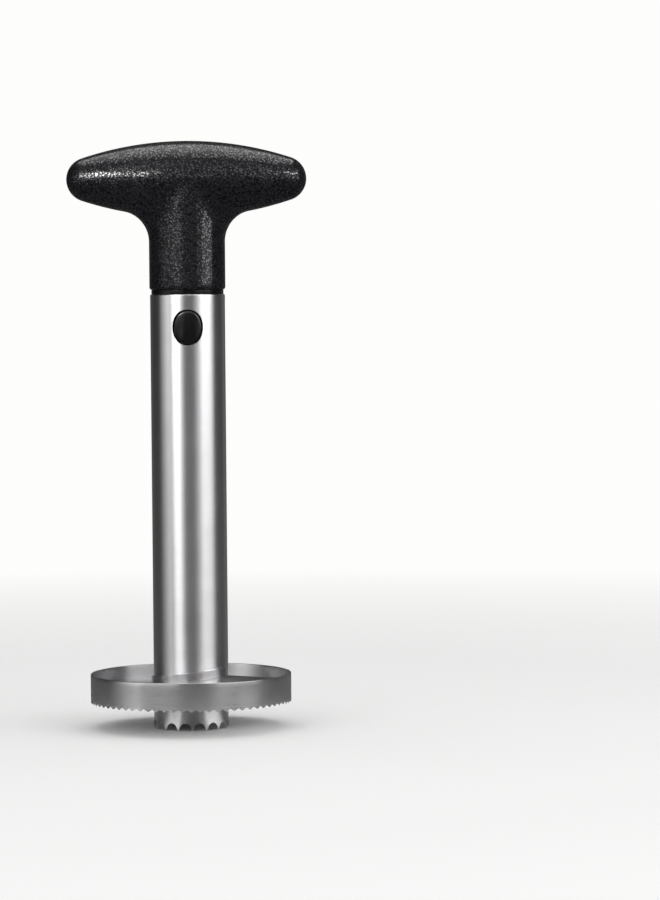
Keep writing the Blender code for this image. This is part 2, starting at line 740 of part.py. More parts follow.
def button_mesh():
    """A push button facing -Y, about its own centre: spring peg, flange that follows the plug's
    bore, and an oval cap that follows the tube's outside and has a rounded rim."""

    def on_cylinder(x, radius):
        return -math.sqrt(radius**2 - x**2)

    flange = oval(BUTTON_HALF_WIDTH + FLANGE_LAP, BUTTON_HALF_HEIGHT + FLANGE_LAP)
    cap = oval(BUTTON_HALF_WIDTH, BUTTON_HALF_HEIGHT)
    peg = [
        (BUTTON_PEG_RADIUS * math.cos(a), BUTTON_PEG_RADIUS * math.sin(a))
        for a in (math.tau * i / OVAL_POINTS for i in range(OVAL_POINTS))
    ]
    peg_end = -FLANGE_BACK + BUTTON_PEG_LENGTH
    rings = [
        [(x, peg_end, z) for x, z in peg],
        [(x, -FLANGE_BACK, z) for x, z in peg],
        [(x, -FLANGE_BACK, z) for x, z in flange],
        [(x, on_cylinder(x, FLANGE_FRONT), z) for x, z in flange],
        [(x, on_cylinder(x, FLANGE_FRONT), z) for x, z in cap],
    ]
    for degrees in (0.0, 30.0, 60.0, 90.0):
        draw_in = BUTTON_ROUND * (1 - math.cos(math.radians(degrees)))
        radius = BUTTON_FACE - BUTTON_ROUND * (1 - math.sin(math.radians(degrees)))
        rim = oval(BUTTON_HALF_WIDTH - draw_in, BUTTON_HALF_HEIGHT - draw_in)
        rings.append([(x, on_cylinder(x, radius), z) for x, z in rim])
    bm = skin(rings)
    bmesh.ops.triangulate(bm, faces=[f for f in bm.faces if len(f.verts) > 4])
    return bm


def make_buttons():
    """The front button and its twin at the back, each on an empty at its place on the slide."""
    for name, turn in (("front_button", 0.0), ("rear_button", math.pi)):
        slide = bpy.data.objects.new(f"{name}_slide", None)
        bpy.context.scene.collection.objects.link(slide)
        slide.location = (0, 0, WINDOW_HEIGHT)
        slide.rotation_euler = (0, 0, turn)
        button = piece(name, button_mesh(), GLOSS_BLACK)
        button.parent = slide


def spring_points(start, length):
    """Centre line of a spring along -Y: whole curls at an even pitch, and at each end a straight
    run of one wire's width along the spring's axis line."""
    points = []
    count = SPRING_CURLS * SPRING_CURL_POINTS
    for i in range(count + 1):
        angle = math.tau * i / SPRING_CURL_POINTS
        along = start - SPRING_WIRE / 2 - (length - SPRING_WIRE) * i / count
        points.append(
            Vector((SPRING_RADIUS * math.cos(angle), along, SPRING_RADIUS * math.sin(angle)))
        )
    for end, step in ((0, 1), (-1, -1)):
        angle = 0.0
        tangent = Vector((-math.sin(angle), 0, math.cos(angle))) * -step
        straight = points[end] + tangent * SPRING_WIRE
        if end == 0:
            points.insert(0, straight)
        else:
            points.append(straight)
    return points


def least_gap(points):
    """The least space between one stretch of the wire and another that isn't beside it."""
    skip = SPRING_CURL_POINTS // 2
    return min(
        (a - b).length - SPRING_WIRE
        for i, a in enumerate(points)
        for b in points[i + skip :]
    )


def make_springs():
    """A coil spring behind each button, from the plug's post to the button's flange."""
    start = -(POST_HALF_THICKNESS + SEAT_GAP)
    length = FLANGE_BACK - POST_HALF_THICKNESS - SEAT_GAP * 2
    points = spring_points(start, length)
    print(f"least gap between a spring's curls: {least_gap(points) / SPRING_WIRE:.2f} wires,"
          f" {least_gap(points):.5f} m")
    for name, turn in (("front_button_spring", 0.0), ("rear_button_spring", math.pi)):
        curve = bpy.data.curves.new(name, "CURVE")
        curve.dimensions = "3D"
        curve.bevel_depth = SPRING_WIRE / 2
        curve.bevel_resolution = 1
        curve.use_fill_caps = True
        spline = curve.splines.new("POLY")
        spline.points.add(len(points) - 1)
        for target, point in zip(spline.points, points):
            target.co = (*point, 1.0)
        curve.materials.append(material(name, SPRING_STEEL))
        spring = bpy.data.objects.new(name, curve)
        spring.location = (0, 0, WINDOW_HEIGHT)
        spring.rotation_euler = (0, 0, turn)
        bpy.context.scene.collection.objects.link(spring)


for old in list(bpy.data.objects):
    bpy.data.objects.remove(old)

make_tube()
make_peeling_ring()
make_slicing_blade()
make_grip()
make_handle_core()
make_plug()
make_plug_screws()
make_plug_end_cap()
make_buttons()
make_springs()
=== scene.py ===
"""Pineapple slicer in brushed steel and pebbled black plastic, standing on its toothed tube."""

import math

import bmesh
import bpy
from mathutils import Matrix, Vector


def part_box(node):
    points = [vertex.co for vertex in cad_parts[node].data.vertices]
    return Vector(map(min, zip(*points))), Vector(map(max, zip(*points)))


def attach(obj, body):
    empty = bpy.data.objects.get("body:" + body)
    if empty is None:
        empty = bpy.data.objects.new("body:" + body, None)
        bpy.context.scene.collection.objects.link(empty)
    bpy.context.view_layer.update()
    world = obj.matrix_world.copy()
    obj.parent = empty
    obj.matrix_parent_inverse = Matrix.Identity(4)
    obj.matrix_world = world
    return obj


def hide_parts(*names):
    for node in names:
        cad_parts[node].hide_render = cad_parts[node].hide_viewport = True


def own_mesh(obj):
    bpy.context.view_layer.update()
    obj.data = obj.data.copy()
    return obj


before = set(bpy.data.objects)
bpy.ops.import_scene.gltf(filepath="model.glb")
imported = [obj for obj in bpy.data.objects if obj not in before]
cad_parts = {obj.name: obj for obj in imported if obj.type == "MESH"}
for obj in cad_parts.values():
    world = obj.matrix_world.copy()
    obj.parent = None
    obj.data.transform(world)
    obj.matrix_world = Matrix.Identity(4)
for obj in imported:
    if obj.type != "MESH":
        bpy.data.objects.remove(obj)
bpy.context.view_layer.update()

# Coring tube
# Seamless stainless tube, ground round and round to a fine satin. Its foot is cut into arched
# teeth that saw round the fruit's core, and an oval window front and back lets the buttons through.

TUBE_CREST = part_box("tube")[1]
TUBE_RADIUS = TUBE_CREST.x
TUBE_HEIGHT = TUBE_CREST.z
TUBE_WALL = 0.0008
TUBE_TEETH = 16
TUBE_TOOTH_DEPTH = 0.003
TUBE_TOOTH_TIP_WIDTH = 0.0009
TUBE_TOOTH_COLUMNS = 24
TUBE_TOOTH_ZONE = 0.0065
TUBE_TOOTH_ROW_SHARES = (0.0, 0.02, 0.06, 0.14, 0.26, 0.42, 0.65)
TUBE_RIM_ROUND = 0.00045
TUBE_BRIM_ROW_SHARES = (3, 2, 1)
TUBE_CUT_ROUND = 0.00012
TUBE_CUT_STEPS = 3
TUBE_GROUND_WALL = 0.00035
TUBE_GROUND_HEIGHT = 0.0016
TUBE_BARE_ROWS = 8
WINDOW_HALF_WIDTH = 0.0063
WINDOW_HALF_HEIGHT = 0.0074
WINDOW_DROP = 0.0137
WINDOW_PATCH_HALF_COLUMNS = 36
WINDOW_PATCH_HALF_HEIGHT = 0.0105
WINDOW_PATCH_ROWS = 28
WINDOW_PATCH_RING_SHARES = (0.2, 0.4, 0.58, 0.74, 0.88, 0.96, 1.0)
OVAL_POWER = 2.15
WINDOW_HEIGHT = TUBE_HEIGHT - WINDOW_DROP
MERGE = 0.000002
SHARP_DEGREES = 34.0
STAINLESS = (0.62, 0.62, 0.63, 1.0)
SATIN_DARK = (0.56, 0.56, 0.57, 1.0)
SATIN_LIGHT = (0.68, 0.68, 0.69, 1.0)
SATIN_WORN = (0.80, 0.80, 0.81, 1.0)
SATIN_LINES = 5200.0
ACROSS_THE_LINES = 0.25
HAIR_LINE_SHARE = 0.4
HAIR_LINES_FINER = 4.3
LINE_BOUNDS = (0.3, 0.7)
TUBE_ROUGHNESS = (0.28, 0.38)
SCUFF_BOUNDS = (0.66, 0.72)
EDGE_BOUNDS = (0.985, 0.80)
EDGE_BREAK_SCALE = 900.0
EDGE_BREAK_BOUNDS = (0.35, 0.62)
SMEAR_BOUNDS = (0.38, 0.66)
SPECK_BOUNDS = (0.55, 0.75)
SPECKS_FINER = 9.0


def shape(name, bm):
    """Turns a bmesh into a smooth object at the origin, its faces out and its creases sharp."""
    bmesh.ops.remove_doubles(bm, verts=bm.verts, dist=MERGE)
    bmesh.ops.delete(bm, geom=[vert for vert in bm.verts if not vert.link_faces], context="VERTS")
    bmesh.ops.recalc_face_normals(bm, faces=bm.faces)
    mesh = bpy.data.meshes.new(name)
    bm.to_mesh(mesh)
    bm.free()
    mesh.shade_smooth()
    mesh.set_sharp_from_angle(angle=math.radians(SHARP_DEGREES))
    obj = bpy.data.objects.new(name, mesh)
    bpy.context.scene.collection.objects.link(obj)
    return obj


def strip(bm, low, high):
    """Faces between two closed loops of as many points."""
    for i in range(len(low)):
        j = (i + 1) % len(low)
        bm.faces.new((low[i], low[j], high[j], high[i]))


def oval_reach(x, z, half_width, half_height):
    """How far the buttons' oval lies from its centre in the direction of a point."""
    length = math.hypot(x, z)
    across = (abs(x) / length / half_width) ** OVAL_POWER
    upward = (abs(z) / length / half_height) ** OVAL_POWER
    return (across + upward) ** (-1 / OVAL_POWER)


def tube_rim(column):
    """Height of the tube's rim above its tooth tips: an arched gullet between two flat tips."""
    pitch = math.tau * TUBE_RADIUS / TUBE_TEETH
    tip_share = TUBE_TOOTH_TIP_WIDTH / pitch
    place = (column % TUBE_TOOTH_COLUMNS) / TUBE_TOOTH_COLUMNS
    across = (place - tip_share) / (1 - tip_share)
    if across <= 0:
        return 0.0
    return TUBE_TOOTH_DEPTH * math.sqrt(1 - (across * 2 - 1) ** 2)


def tube_skin(bm, radius_above_rim, rim_lift, window_grow):
    """One wall of the tube as rows of points from rim to top. Each window's place is filled by
    rings of points between its oval and the rows. Returns the lowest and highest row and ovals."""
    columns = TUBE_TEETH * TUBE_TOOTH_COLUMNS
    low, high = WINDOW_HEIGHT - WINDOW_PATCH_HALF_HEIGHT, WINDOW_HEIGHT + WINDOW_PATCH_HALF_HEIGHT
    bare = [
        TUBE_TOOTH_ZONE + (low - TUBE_TOOTH_ZONE) * i / TUBE_BARE_ROWS
        for i in range(TUBE_BARE_ROWS)
    ]
    patch = [low + (high - low) * i / WINDOW_PATCH_ROWS for i in range(WINDOW_PATCH_ROWS + 1)]
    brim = [TUBE_HEIGHT - TUBE_RIM_ROUND * share for share in TUBE_BRIM_ROW_SHARES]
    heights = [None] * len(TUBE_TOOTH_ROW_SHARES) + bare + patch + brim
    rows = []
    for k, height in enumerate(heights):
        row = []
        for i in range(columns):
            angle = math.tau * i / columns
            rim = tube_rim(i) + rim_lift
            z = height
            if height is None:
                z = rim + (TUBE_TOOTH_ZONE - rim) * TUBE_TOOTH_ROW_SHARES[k]
            r = radius_above_rim(z - tube_rim(i))
            row.append(bm.verts.new((r * math.cos(angle), r * math.sin(angle), z)))
        rows.append(row)

    first = len(TUBE_TOOTH_ROW_SHARES) + TUBE_BARE_ROWS
    last = first + WINDOW_PATCH_ROWS
    reach = WINDOW_PATCH_HALF_COLUMNS
    middles = (columns * 3 // 4, columns // 4)
    for k, (here, above) in enumerate(zip(rows, rows[1:])):
        for i in range(columns):
            j = (i + 1) % columns
            by_window = any(middle - reach <= i < middle + reach for middle in middles)
            if not (by_window and first <= k < last):
                bm.faces.new((here[i], here[j], above[j], above[i]))

    ovals = []
    for middle, side in zip(middles, (-1, 1)):
        span = range(middle - reach, middle + reach)
        frame_loop = [rows[first][i] for i in span]
        frame_loop += [rows[k][middle + reach] for k in range(first, last)]
        frame_loop += [rows[last][i + 1] for i in reversed(span)]
        frame_loop += [rows[k][middle - reach] for k in range(last, first, -1)]
        loops = [frame_loop]
        for share in WINDOW_PATCH_RING_SHARES:
            loop = []
            for vert in frame_loop:
                x, z = vert.co.x, vert.co.z - WINDOW_HEIGHT
                length = math.hypot(x, z)
                oval = oval_reach(
                    x, z, WINDOW_HALF_WIDTH + window_grow, WINDOW_HALF_HEIGHT + window_grow
                )
                place = (length + (oval - length) * share) / length
                r = math.hypot(vert.co.x, vert.co.y)
                px, pz = x * place, z * place
                y = side * math.sqrt(r**2 - px**2)
                loop.append(bm.verts.new((px, y, WINDOW_HEIGHT + pz)))
            strip(bm, loops[-1], loop)
            loops.append(loop)
        ovals.append(loops[-1])
    return rows[0], rows[-1], ovals


def coring_tube():
    """Both walls of the tube, joined over its toothed rim, its rounded top and its windows."""
    bm = bmesh.new()
    bore = TUBE_RADIUS - TUBE_WALL

    def ground_bore(above_rim):
        share = min(max(above_rim / TUBE_GROUND_HEIGHT, 0), 1)
        return TUBE_RADIUS - TUBE_GROUND_WALL - (TUBE_WALL - TUBE_GROUND_WALL) * share

    cut = TUBE_CUT_ROUND
    outer = tube_skin(bm, lambda above_rim: TUBE_RADIUS, cut, cut)
    inner = tube_skin(bm, ground_bore, 0.0, 0.0)

    def eased(outer_loop, inner_loop, radius, ways):
        """Rounds the outer edge of a cut, each point its own way, then runs through the wall."""
        loop = outer_loop
        for step in range(1, TUBE_CUT_STEPS + 1):
            angle = math.pi / 2 * step / TUBE_CUT_STEPS
            ring = []
            for vert, way in zip(outer_loop, ways):
                inward = Vector((vert.co.x, vert.co.y, 0)).normalized() * -radius
                point = vert.co + inward * (1 - math.cos(angle))
                ring.append(bm.verts.new(point + way * (radius * math.sin(angle))))
            strip(bm, loop, ring)
            loop = ring
        strip(bm, loop, inner_loop)

    def to_middle(vert):
        return Vector((-vert.co.x, 0, WINDOW_HEIGHT - vert.co.z)).normalized()

    eased(outer[0], inner[0], cut, [Vector((0, 0, -1))] * len(outer[0]))
    eased(outer[1], inner[1], TUBE_RIM_ROUND, [Vector((0, 0, 1))] * len(outer[1]))
    for outer_oval, inner_oval in zip(outer[2], inner[2]):
        eased(outer_oval, inner_oval, cut, [to_middle(vert) for vert in outer_oval])
    return shape("coring_tube", bm)


class Measure:
    """What a node gives. Sums, products and shares of it become Math nodes of their own."""

    def __init__(self, socket):
        self.socket = socket
        self.tree = socket.id_data

    def __add__(self, other):
        return calculate("ADD", self, other)

    def __sub__(self, other):
        return calculate("SUBTRACT", self, other)

    def __rsub__(self, other):
        return calculate("SUBTRACT", other, self)

    def __mul__(self, other):
        return calculate("MULTIPLY", self, other)

    def __truediv__(self, other):
        return calculate("DIVIDE", self, other)

    def __rtruediv__(self, other):
        return calculate("DIVIDE", other, self)


def add(tree, kind, inputs=(), **settings):
    """Adds a node with its settings. Each input takes a plain value or what another node gives."""
    node = tree.nodes.new(kind)
    for name, value in settings.items():
        setattr(node, name, value)
    for key, value in dict(inputs).items():
        if isinstance(value, Measure):
            tree.links.new(value.socket, node.inputs[key])
        else:
            node.inputs[key].default_value = value
    return node


def measure(tree, kind, inputs=(), output=0, **settings):
    """What one output of a new node gives."""
    return Measure(add(tree, kind, inputs, **settings).outputs[output])


def measures(node):
    """All that a node gives, by name."""
    return {output.name: Measure(output) for output in node.outputs}


def feed(node, name, value):
    """Links what another node gives to an input."""
    value.tree.links.new(value.socket, node.inputs[name])


def calculate(operation, *values):
    """The result of a Math node."""
    tree = next(value.tree for value in values if isinstance(value, Measure))
    return measure(tree, "ShaderNodeMath", enumerate(values), operation=operation)


def calculate_place(operation, first, second, output=0):
    """The result of a Vector Math node."""
    ends = {0: first, 1: second}
    return measure(first.tree, "ShaderNodeVectorMath", ends, output, operation=operation)


def between(value, low, high, to_low=0.0, to_high=1.0):
    """A value's place between two bounds, held there, on a new scale."""
    ends = {"Value": value, "From Min": low, "From Max": high, "To Min": to_low, "To Max": to_high}
    return measure(value.tree, "ShaderNodeMapRange", ends)


def split(place):
    """The X, Y and Z of a place."""
    node = add(place.tree, "ShaderNodeSeparateXYZ", {0: place})
    return [Measure(output) for output in node.outputs]


def join(x, y, z):
    """A place from its X, Y and Z."""
    return measure(x.tree, "ShaderNodeCombineXYZ", enumerate((x, y, z)))


def off_axis(x, y):
    """How far a place lies from the Z axis."""
    return calculate("SQRT", x * x + y * y)


def noise(place, scale=1.0, detail=2.0, distortion=0.0):
    """Soft noise at a place, from 0 to 1."""
    looks = {"Vector": place, "Scale": scale, "Detail": detail, "Distortion": distortion}
    return measure(place.tree, "ShaderNodeTexNoise", looks, "Fac")


def tint(mask, plain, marked):
    """A colour that goes from plain to marked with a mask."""
    ends = {0: mask, 6: plain, 7: marked}
    return measure(mask.tree, "ShaderNodeMix", ends, 2, data_type="RGBA")


def effect(name, inputs, outputs):
    """A shader node group with named values to set. Returns its tree, inputs and outputs."""
    tree = bpy.data.node_groups.new(name, "ShaderNodeTree")
    for label, value in inputs.items():
        tree.interface.new_socket(label, in_out="INPUT", socket_type="NodeSocketFloat")
        tree.interface.items_tree[label].default_value = value
    for label in outputs:
        tree.interface.new_socket(label, in_out="OUTPUT", socket_type="NodeSocketFloat")
    return tree, measures(tree.nodes.new("NodeGroupInput")), tree.nodes.new("NodeGroupOutput")


def use(tree, group, **values):
    """Places an effect in a material with its own values. Returns all that it gives."""
    labels = {key.capitalize(): value for key, value in values.items()}
    return measures(add(tree, "ShaderNodeGroup", labels, node_tree=group))


def object_place(tree, stretch=None):
    """Object coordinates in metres, or stretched."""
    place = measure(tree, "ShaderNodeTexCoord", output="Object")
    if stretch is None:
        return place
    return measure(tree, "ShaderNodeMapping", {"Vector": place, "Scale": stretch})


def round_axis(tree, around, along, outward):
    """Coordinates about Z whose three directions run round it, along it and out from it, each
    stretched by its own amount. The way round has no seam, for it stays on the circle."""
    x, y, z = split(object_place(tree))
    radius = off_axis(x, y)
    reach = calculate("MAXIMUM", radius, MERGE)
    return join(x / reach * around, y / reach * around, z * along + radius * outward)


def edge_wear_and_highlight_effect():
    """Edges made lighter by rubbing, and on the buttons by a painted highlight: outer corners found
    by rounding, broken up by noise.
    """
    tree, given, out = effect("edge_wear_and_highlight", {"Reach": 0.0004, "Amount": 1.0}, ["Mask"])
    rounded_off = measure(tree, "ShaderNodeBevel", {"Radius": given["Reach"]}, samples=4)
    plain = measure(tree, "ShaderNodeNewGeometry", output="Normal")
    edge = between(calculate_place("DOT_PRODUCT", rounded_off, plain, "Value"), *EDGE_BOUNDS)
    breaks = noise(object_place(tree), EDGE_BREAK_SCALE)
    broken = between(breaks, *EDGE_BREAK_BOUNDS, to_low=0.25)
    feed(out, "Mask", edge * broken * given["Amount"])
    return tree


def handling_effect():
    """Soft smears left by hands and a cloth, and finer specks within them."""
    tree, given, out = effect("handling", {"Size": 0.02}, ["Smears", "Specks"])
    scale = 1.0 / given["Size"]
    wide = noise(object_place(tree), scale, detail=4.0, distortion=0.6)
    fine = noise(object_place(tree), scale * SPECKS_FINER, detail=3.0)
    feed(out, "Smears", between(wide, *SMEAR_BOUNDS))
    feed(out, "Specks", between(fine, *SPECK_BOUNDS))
    return tree


EDGE_WEAR_AND_HIGHLIGHT = edge_wear_and_highlight_effect()
HANDLING = handling_effect()


def ground_lines(place):
    """Fine grinding lines: coarse and hair-fine noise at a place stretched across the lines."""
    coarse, hairs = noise(place, detail=3.0), noise(place, HAIR_LINES_FINER)
    return measure(place.tree, "ShaderNodeMix", {0: HAIR_LINE_SHARE, 2: coarse, 3: hairs})


def finish(name, colour, roughness, metallic=0.0):
    """A new material. Returns it, its node tree and its Principled shader."""
    made = bpy.data.materials.new(name)
    made.use_nodes = True
    shader = made.node_tree.nodes["Principled BSDF"]
    shader.inputs["Base Color"].default_value = colour
    shader.inputs["Roughness"].default_value = roughness
    shader.inputs["Metallic"].default_value = metallic
    return made, made.node_tree, shader


def relief(shader, height, depth):
    """Feeds a height from 0 to 1 into the shader's normal, as deep as stated."""
    ends = {"Height": height, "Distance": depth, "Strength": 1.0}
    feed(shader, "Normal", measure(height.tree, "ShaderNodeBump", ends))


def ground_round(tree, shader, strength):
    """Draws highlights out across grinding lines that run round the Z axis."""
    feed(shader, "Tangent", measure(tree, "ShaderNodeTangent", direction_type="RADIAL", axis="Z"))
    shader.inputs["Anisotropic"].default_value = strength
    shader.inputs["Anisotropic Rotation"].default_value = ACROSS_THE_LINES


def tube_steel():
    """Satin steel: grinding lines round the tube, a few long scuffs, dulled by handling."""
    made, tree, shader = finish("tube_satin_steel", STAINLESS, roughness=0.24, metallic=1.0)
    lines = ground_lines(round_axis(tree, around=1.6, along=SATIN_LINES, outward=900.0))
    scuffs = noise(round_axis(tree, around=110.0, along=26.0, outward=0.0))
    smears = use(tree, HANDLING, size=0.018)["Smears"]
    wear_and_highlight = use(tree, EDGE_WEAR_AND_HIGHLIGHT, reach=0.0005)["Mask"]
    feed(shader, "Base Color", tint(wear_and_highlight, tint(lines, SATIN_DARK, SATIN_LIGHT), SATIN_WORN))
    rough = between(lines, *LINE_BOUNDS, *TUBE_ROUGHNESS) + between(smears, 0.0, 1.0, to_high=0.05)
    feed(shader, "Roughness", rough + between(scuffs, *SCUFF_BOUNDS) * 0.10)
    ground_round(tree, shader, strength=0.88)
    relief(shader, lines, depth=0.000004)
    return made


coring_tube_piece = coring_tube()
coring_tube_piece.data.materials.append(tube_steel())
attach(coring_tube_piece, "cutter")
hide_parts("tube")

# Peeling ring
# Thin stainless band that parts the flesh from the shell. Its lower edge is saw-toothed and ground
# thin from inside, its top edge is rolled smooth, and the spiral blade carries it.

RING_FOOT, RING_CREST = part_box("peeling_ring")
RING_RADIUS = RING_CREST.x
RING_WALL = 0.0008
RING_TEETH = 72
RING_TOOTH_COLUMNS = 8
RING_TOOTH_DEPTH = 0.0011
RING_TOOTH_ZONE = 0.0032
RING_EDGE_WALL = 0.00022
RING_GROUND_HEIGHT = 0.0019
RING_RIM_ROUND = 0.00032
RING_BARE_ROWS = 5
RING_GROUND_ROWS = 4
RING_TOOTH_ROWS = 3
RING_NICK = RING_EDGE_WALL / 3
ROUND_STEPS = 4
SHEET_ROUGHNESS = (0.25, 0.34)
STAIN_SHARE = 0.10
GROUND_WEAR = 0.8
GROUND_SHINE = -0.06
SHEET_DARK = (0.57, 0.57, 0.58, 1.0)
SHEET_LIGHT = (0.65, 0.65, 0.66, 1.0)
SHEET_STAIN = (0.40, 0.39, 0.37, 1.0)
SHEET_WORN = (0.82, 0.82, 0.83, 1.0)


def recipe(name, sizes):
    """A Geometry Nodes tree with a section to sweep and named sizes as its inputs."""
    tree = bpy.data.node_groups.new(name, "GeometryNodeTree")
    tree.is_modifier = True
    tree.interface.new_socket("Section", in_out="INPUT", socket_type="NodeSocketGeometry")
    for label, value in sizes.items():
        kind = "NodeSocketInt" if isinstance(value, int) else "NodeSocketFloat"
        tree.interface.new_socket(label, in_out="INPUT", socket_type=kind)
    tree.interface.new_socket("Piece", in_out="OUTPUT", socket_type="NodeSocketGeometry")
    return tree, measures(tree.nodes.new("NodeGroupInput")), tree.nodes.new("NodeGroupOutput")


def finish_recipe(out, piece, material):
    """Ends a tree as every one here ends: instances made real, then the piece's material."""
    real = measure(piece.tree, "GeometryNodeRealizeInstances", {"Geometry": piece})
    dressed = {"Geometry": real, "Material": material}
    feed(out, "Piece", measure(piece.tree, "GeometryNodeSetMaterial", dressed))


def grow(name, section, tree, sizes):
    """Runs a tree on a section of points and keeps what it makes as a bmesh, points in order."""
    mesh = bpy.data.meshes.new(name)
    mesh.from_pydata([tuple(point) for point in section], [], [])
    obj = bpy.data.objects.new(name, mesh)
    bpy.context.scene.collection.objects.link(obj)
    modifier = obj.modifiers.new("recipe", "NODES")
    modifier.node_group = tree
    for item in tree.interface.items_tree:
        if item.in_out == "INPUT" and item.name in sizes:
            modifier[item.identifier] = sizes[item.name]
    evaluated = obj.evaluated_get(bpy.context.evaluated_depsgraph_get())
    result = bpy.data.meshes.new_from_object(evaluated)
    bpy.data.objects.remove(obj)
    bm = bmesh.new()
    bm.from_mesh(result)
    bpy.data.meshes.remove(result)
    return bm


def swept(tree, given, section_size):
    """A sheet of columns and rows. Returns it with each point's column, and the radius, height and
    third value of its section point."""
    columns = given["Columns"]
    size = {"Size X": 1.0, "Size Y": 1.0, "Vertices X": columns + 1.0, "Vertices Y": section_size}
    sheet = measure(tree, "GeometryNodeMeshGrid", size, "Mesh")
    place = measure(tree, "GeometryNodeInputPosition")
    x, y, _ = split(place)
    row = calculate("ROUND", (y + 0.5) * float(section_size - 1))
    picked = {"Geometry": given["Section"], "Value": place, "Index": row}
    radius, extra, height = split(measure(tree, "GeometryNodeSampleIndex", picked,
                                          data_type="FLOAT_VECTOR", domain="POINT"))
    return sheet, calculate("ROUND", (x + 0.5) * columns), radius, height, extra


def set_round(sheet, radius, angle, height):
    """Moves a sheet's points to their radius, angle and height about Z."""
    across, deep = calculate("COSINE", angle), calculate("SINE", angle)
    moved = {"Geometry": sheet, "Position": join(radius * across, radius * deep, height)}
    return measure(sheet.tree, "GeometryNodeSetPosition", moved)


def zigzag(value):
    """A wave of straight flanks: 0 at whole numbers and 1 halfway between them."""
    return 1.0 - calculate("ABSOLUTE", calculate("FRACT", value) * 2.0 - 1.0)


def rounded(corner, radius, start_degrees, end_degrees, steps=ROUND_STEPS):
    """Points of a round corner in an outline, (radius, height), about its own centre."""
    x, z = corner
    turn = [
        math.radians(start_degrees + (end_degrees - start_degrees) * i / steps)
        for i in range(steps + 1)
    ]
    return [(x + radius * math.cos(a), z + radius * math.sin(a)) for a in turn]


def ring_section():
    """The band's section, (radius, height), up its outside, over its top and down its inside."""
    foot, top, edge = RING_FOOT.z, RING_CREST.z, RING_FOOT.z + RING_TOOTH_ZONE
    inner = RING_RADIUS - RING_WALL
    shoulder = top - RING_RIM_ROUND
    points = [(RING_RADIUS - RING_NICK, foot), (RING_RADIUS, foot + RING_NICK)]
    for i in range(1, RING_TOOTH_ROWS):
        points.append((RING_RADIUS, foot + RING_TOOTH_ZONE * i / RING_TOOTH_ROWS))
    straight = shoulder - edge
    rise = [edge + straight * i / RING_BARE_ROWS for i in range(RING_BARE_ROWS + 1)]
    points += [(RING_RADIUS, z) for z in rise]
    points += rounded((RING_RADIUS - RING_RIM_ROUND, shoulder), RING_RIM_ROUND, 0, 90)[1:]
    points += rounded((inner + RING_RIM_ROUND, shoulder), RING_RIM_ROUND, 90, 180)[1:]
    points += [(inner, z) for z in reversed(rise[:-1])]
    for i in range(RING_GROUND_ROWS + 1):
        share = 1 - i / RING_GROUND_ROWS
        wall = RING_EDGE_WALL + (RING_WALL - RING_EDGE_WALL) * share
        points.append((RING_RADIUS - wall, foot + RING_GROUND_HEIGHT * share))
    points.append(points[0])
    return [(radius, 0.0, z) for radius, z in points]


def ring_recipe(section, material):
    """Sweeps the band's section right round, with saw teeth that fade out up the band."""
    sizes = {"Columns": RING_TEETH * RING_TOOTH_COLUMNS, "Teeth": RING_TEETH,
             "Tooth Depth": RING_TOOTH_DEPTH, "Tooth Zone": RING_TOOTH_ZONE,
             "Foot": RING_FOOT.z}
    tree, given, out = recipe("toothed_band", sizes)
    sheet, column, radius, height, _ = swept(tree, given, len(section))
    round_share = column / given["Columns"]
    tooth = zigzag(round_share * given["Teeth"])
    fade = between(height - given["Foot"], 0.0, given["Tooth Zone"], 1.0, 0.0)
    lift = tooth * fade * given["Tooth Depth"]
    piece = set_round(sheet, radius, round_share * math.tau, height + lift)
    finish_recipe(out, piece, material)
    return tree, sizes


def sheet_steel(name, lines_place, ground_low=None, ground_high=None):
    """Rolled stainless sheet: fine lines, cloudy smears, bright worn edges, and a ground strip
    between two heights where they are given."""
    made, tree, shader = finish(name, STAINLESS, roughness=0.26, metallic=1.0)
    lines = ground_lines(lines_place(tree))
    marks = use(tree, HANDLING, size=0.012)
    wear_and_highlight = use(tree, EDGE_WEAR_AND_HIGHLIGHT, reach=0.0004)["Mask"]
    colour = tint(lines, SHEET_DARK, SHEET_LIGHT)
    colour = tint(marks["Specks"] * STAIN_SHARE, colour, SHEET_STAIN)
    rough = between(lines, *LINE_BOUNDS, *SHEET_ROUGHNESS) + marks["Smears"] * 0.06
    if ground_low is not None:
        ground = between(split(object_place(tree))[2], ground_low, ground_high, 1.0, 0.0)
        wear_and_highlight = calculate("MAXIMUM", wear_and_highlight, ground * GROUND_WEAR)
        rough = calculate("MULTIPLY_ADD", ground, GROUND_SHINE, rough)
    feed(shader, "Base Color", tint(wear_and_highlight, colour, SHEET_WORN))
    feed(shader, "Roughness", rough)
    ground_round(tree, shader, strength=0.7)
    relief(shader, lines, depth=0.0000025)
    return made, tree, shader


RING_STEEL = sheet_steel(
    "ring_sheet_steel",
    lambda tree: round_axis(tree, around=1.4, along=SATIN_LINES, outward=0.0),
    ground_low=RING_FOOT.z + RING_TOOTH_DEPTH,
    ground_high=RING_FOOT.z + RING_GROUND_HEIGHT,
)[0]
ring_points = ring_section()
ring_mesh = grow("ring_section", ring_points, *ring_recipe(ring_points, RING_STEEL))
ring_piece = shape("toothed_ring", ring_mesh)
ring_piece.data.materials.append(RING_STEEL)
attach(ring_piece, "cutter")
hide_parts("peeling_ring")

# Spiral blade
# One turn of stainless sheet between tube and ring that cuts the flesh into a single helix. Its hub
# is folded up into a flange and spot-welded to the tube, its leading edge is toothed and ground.

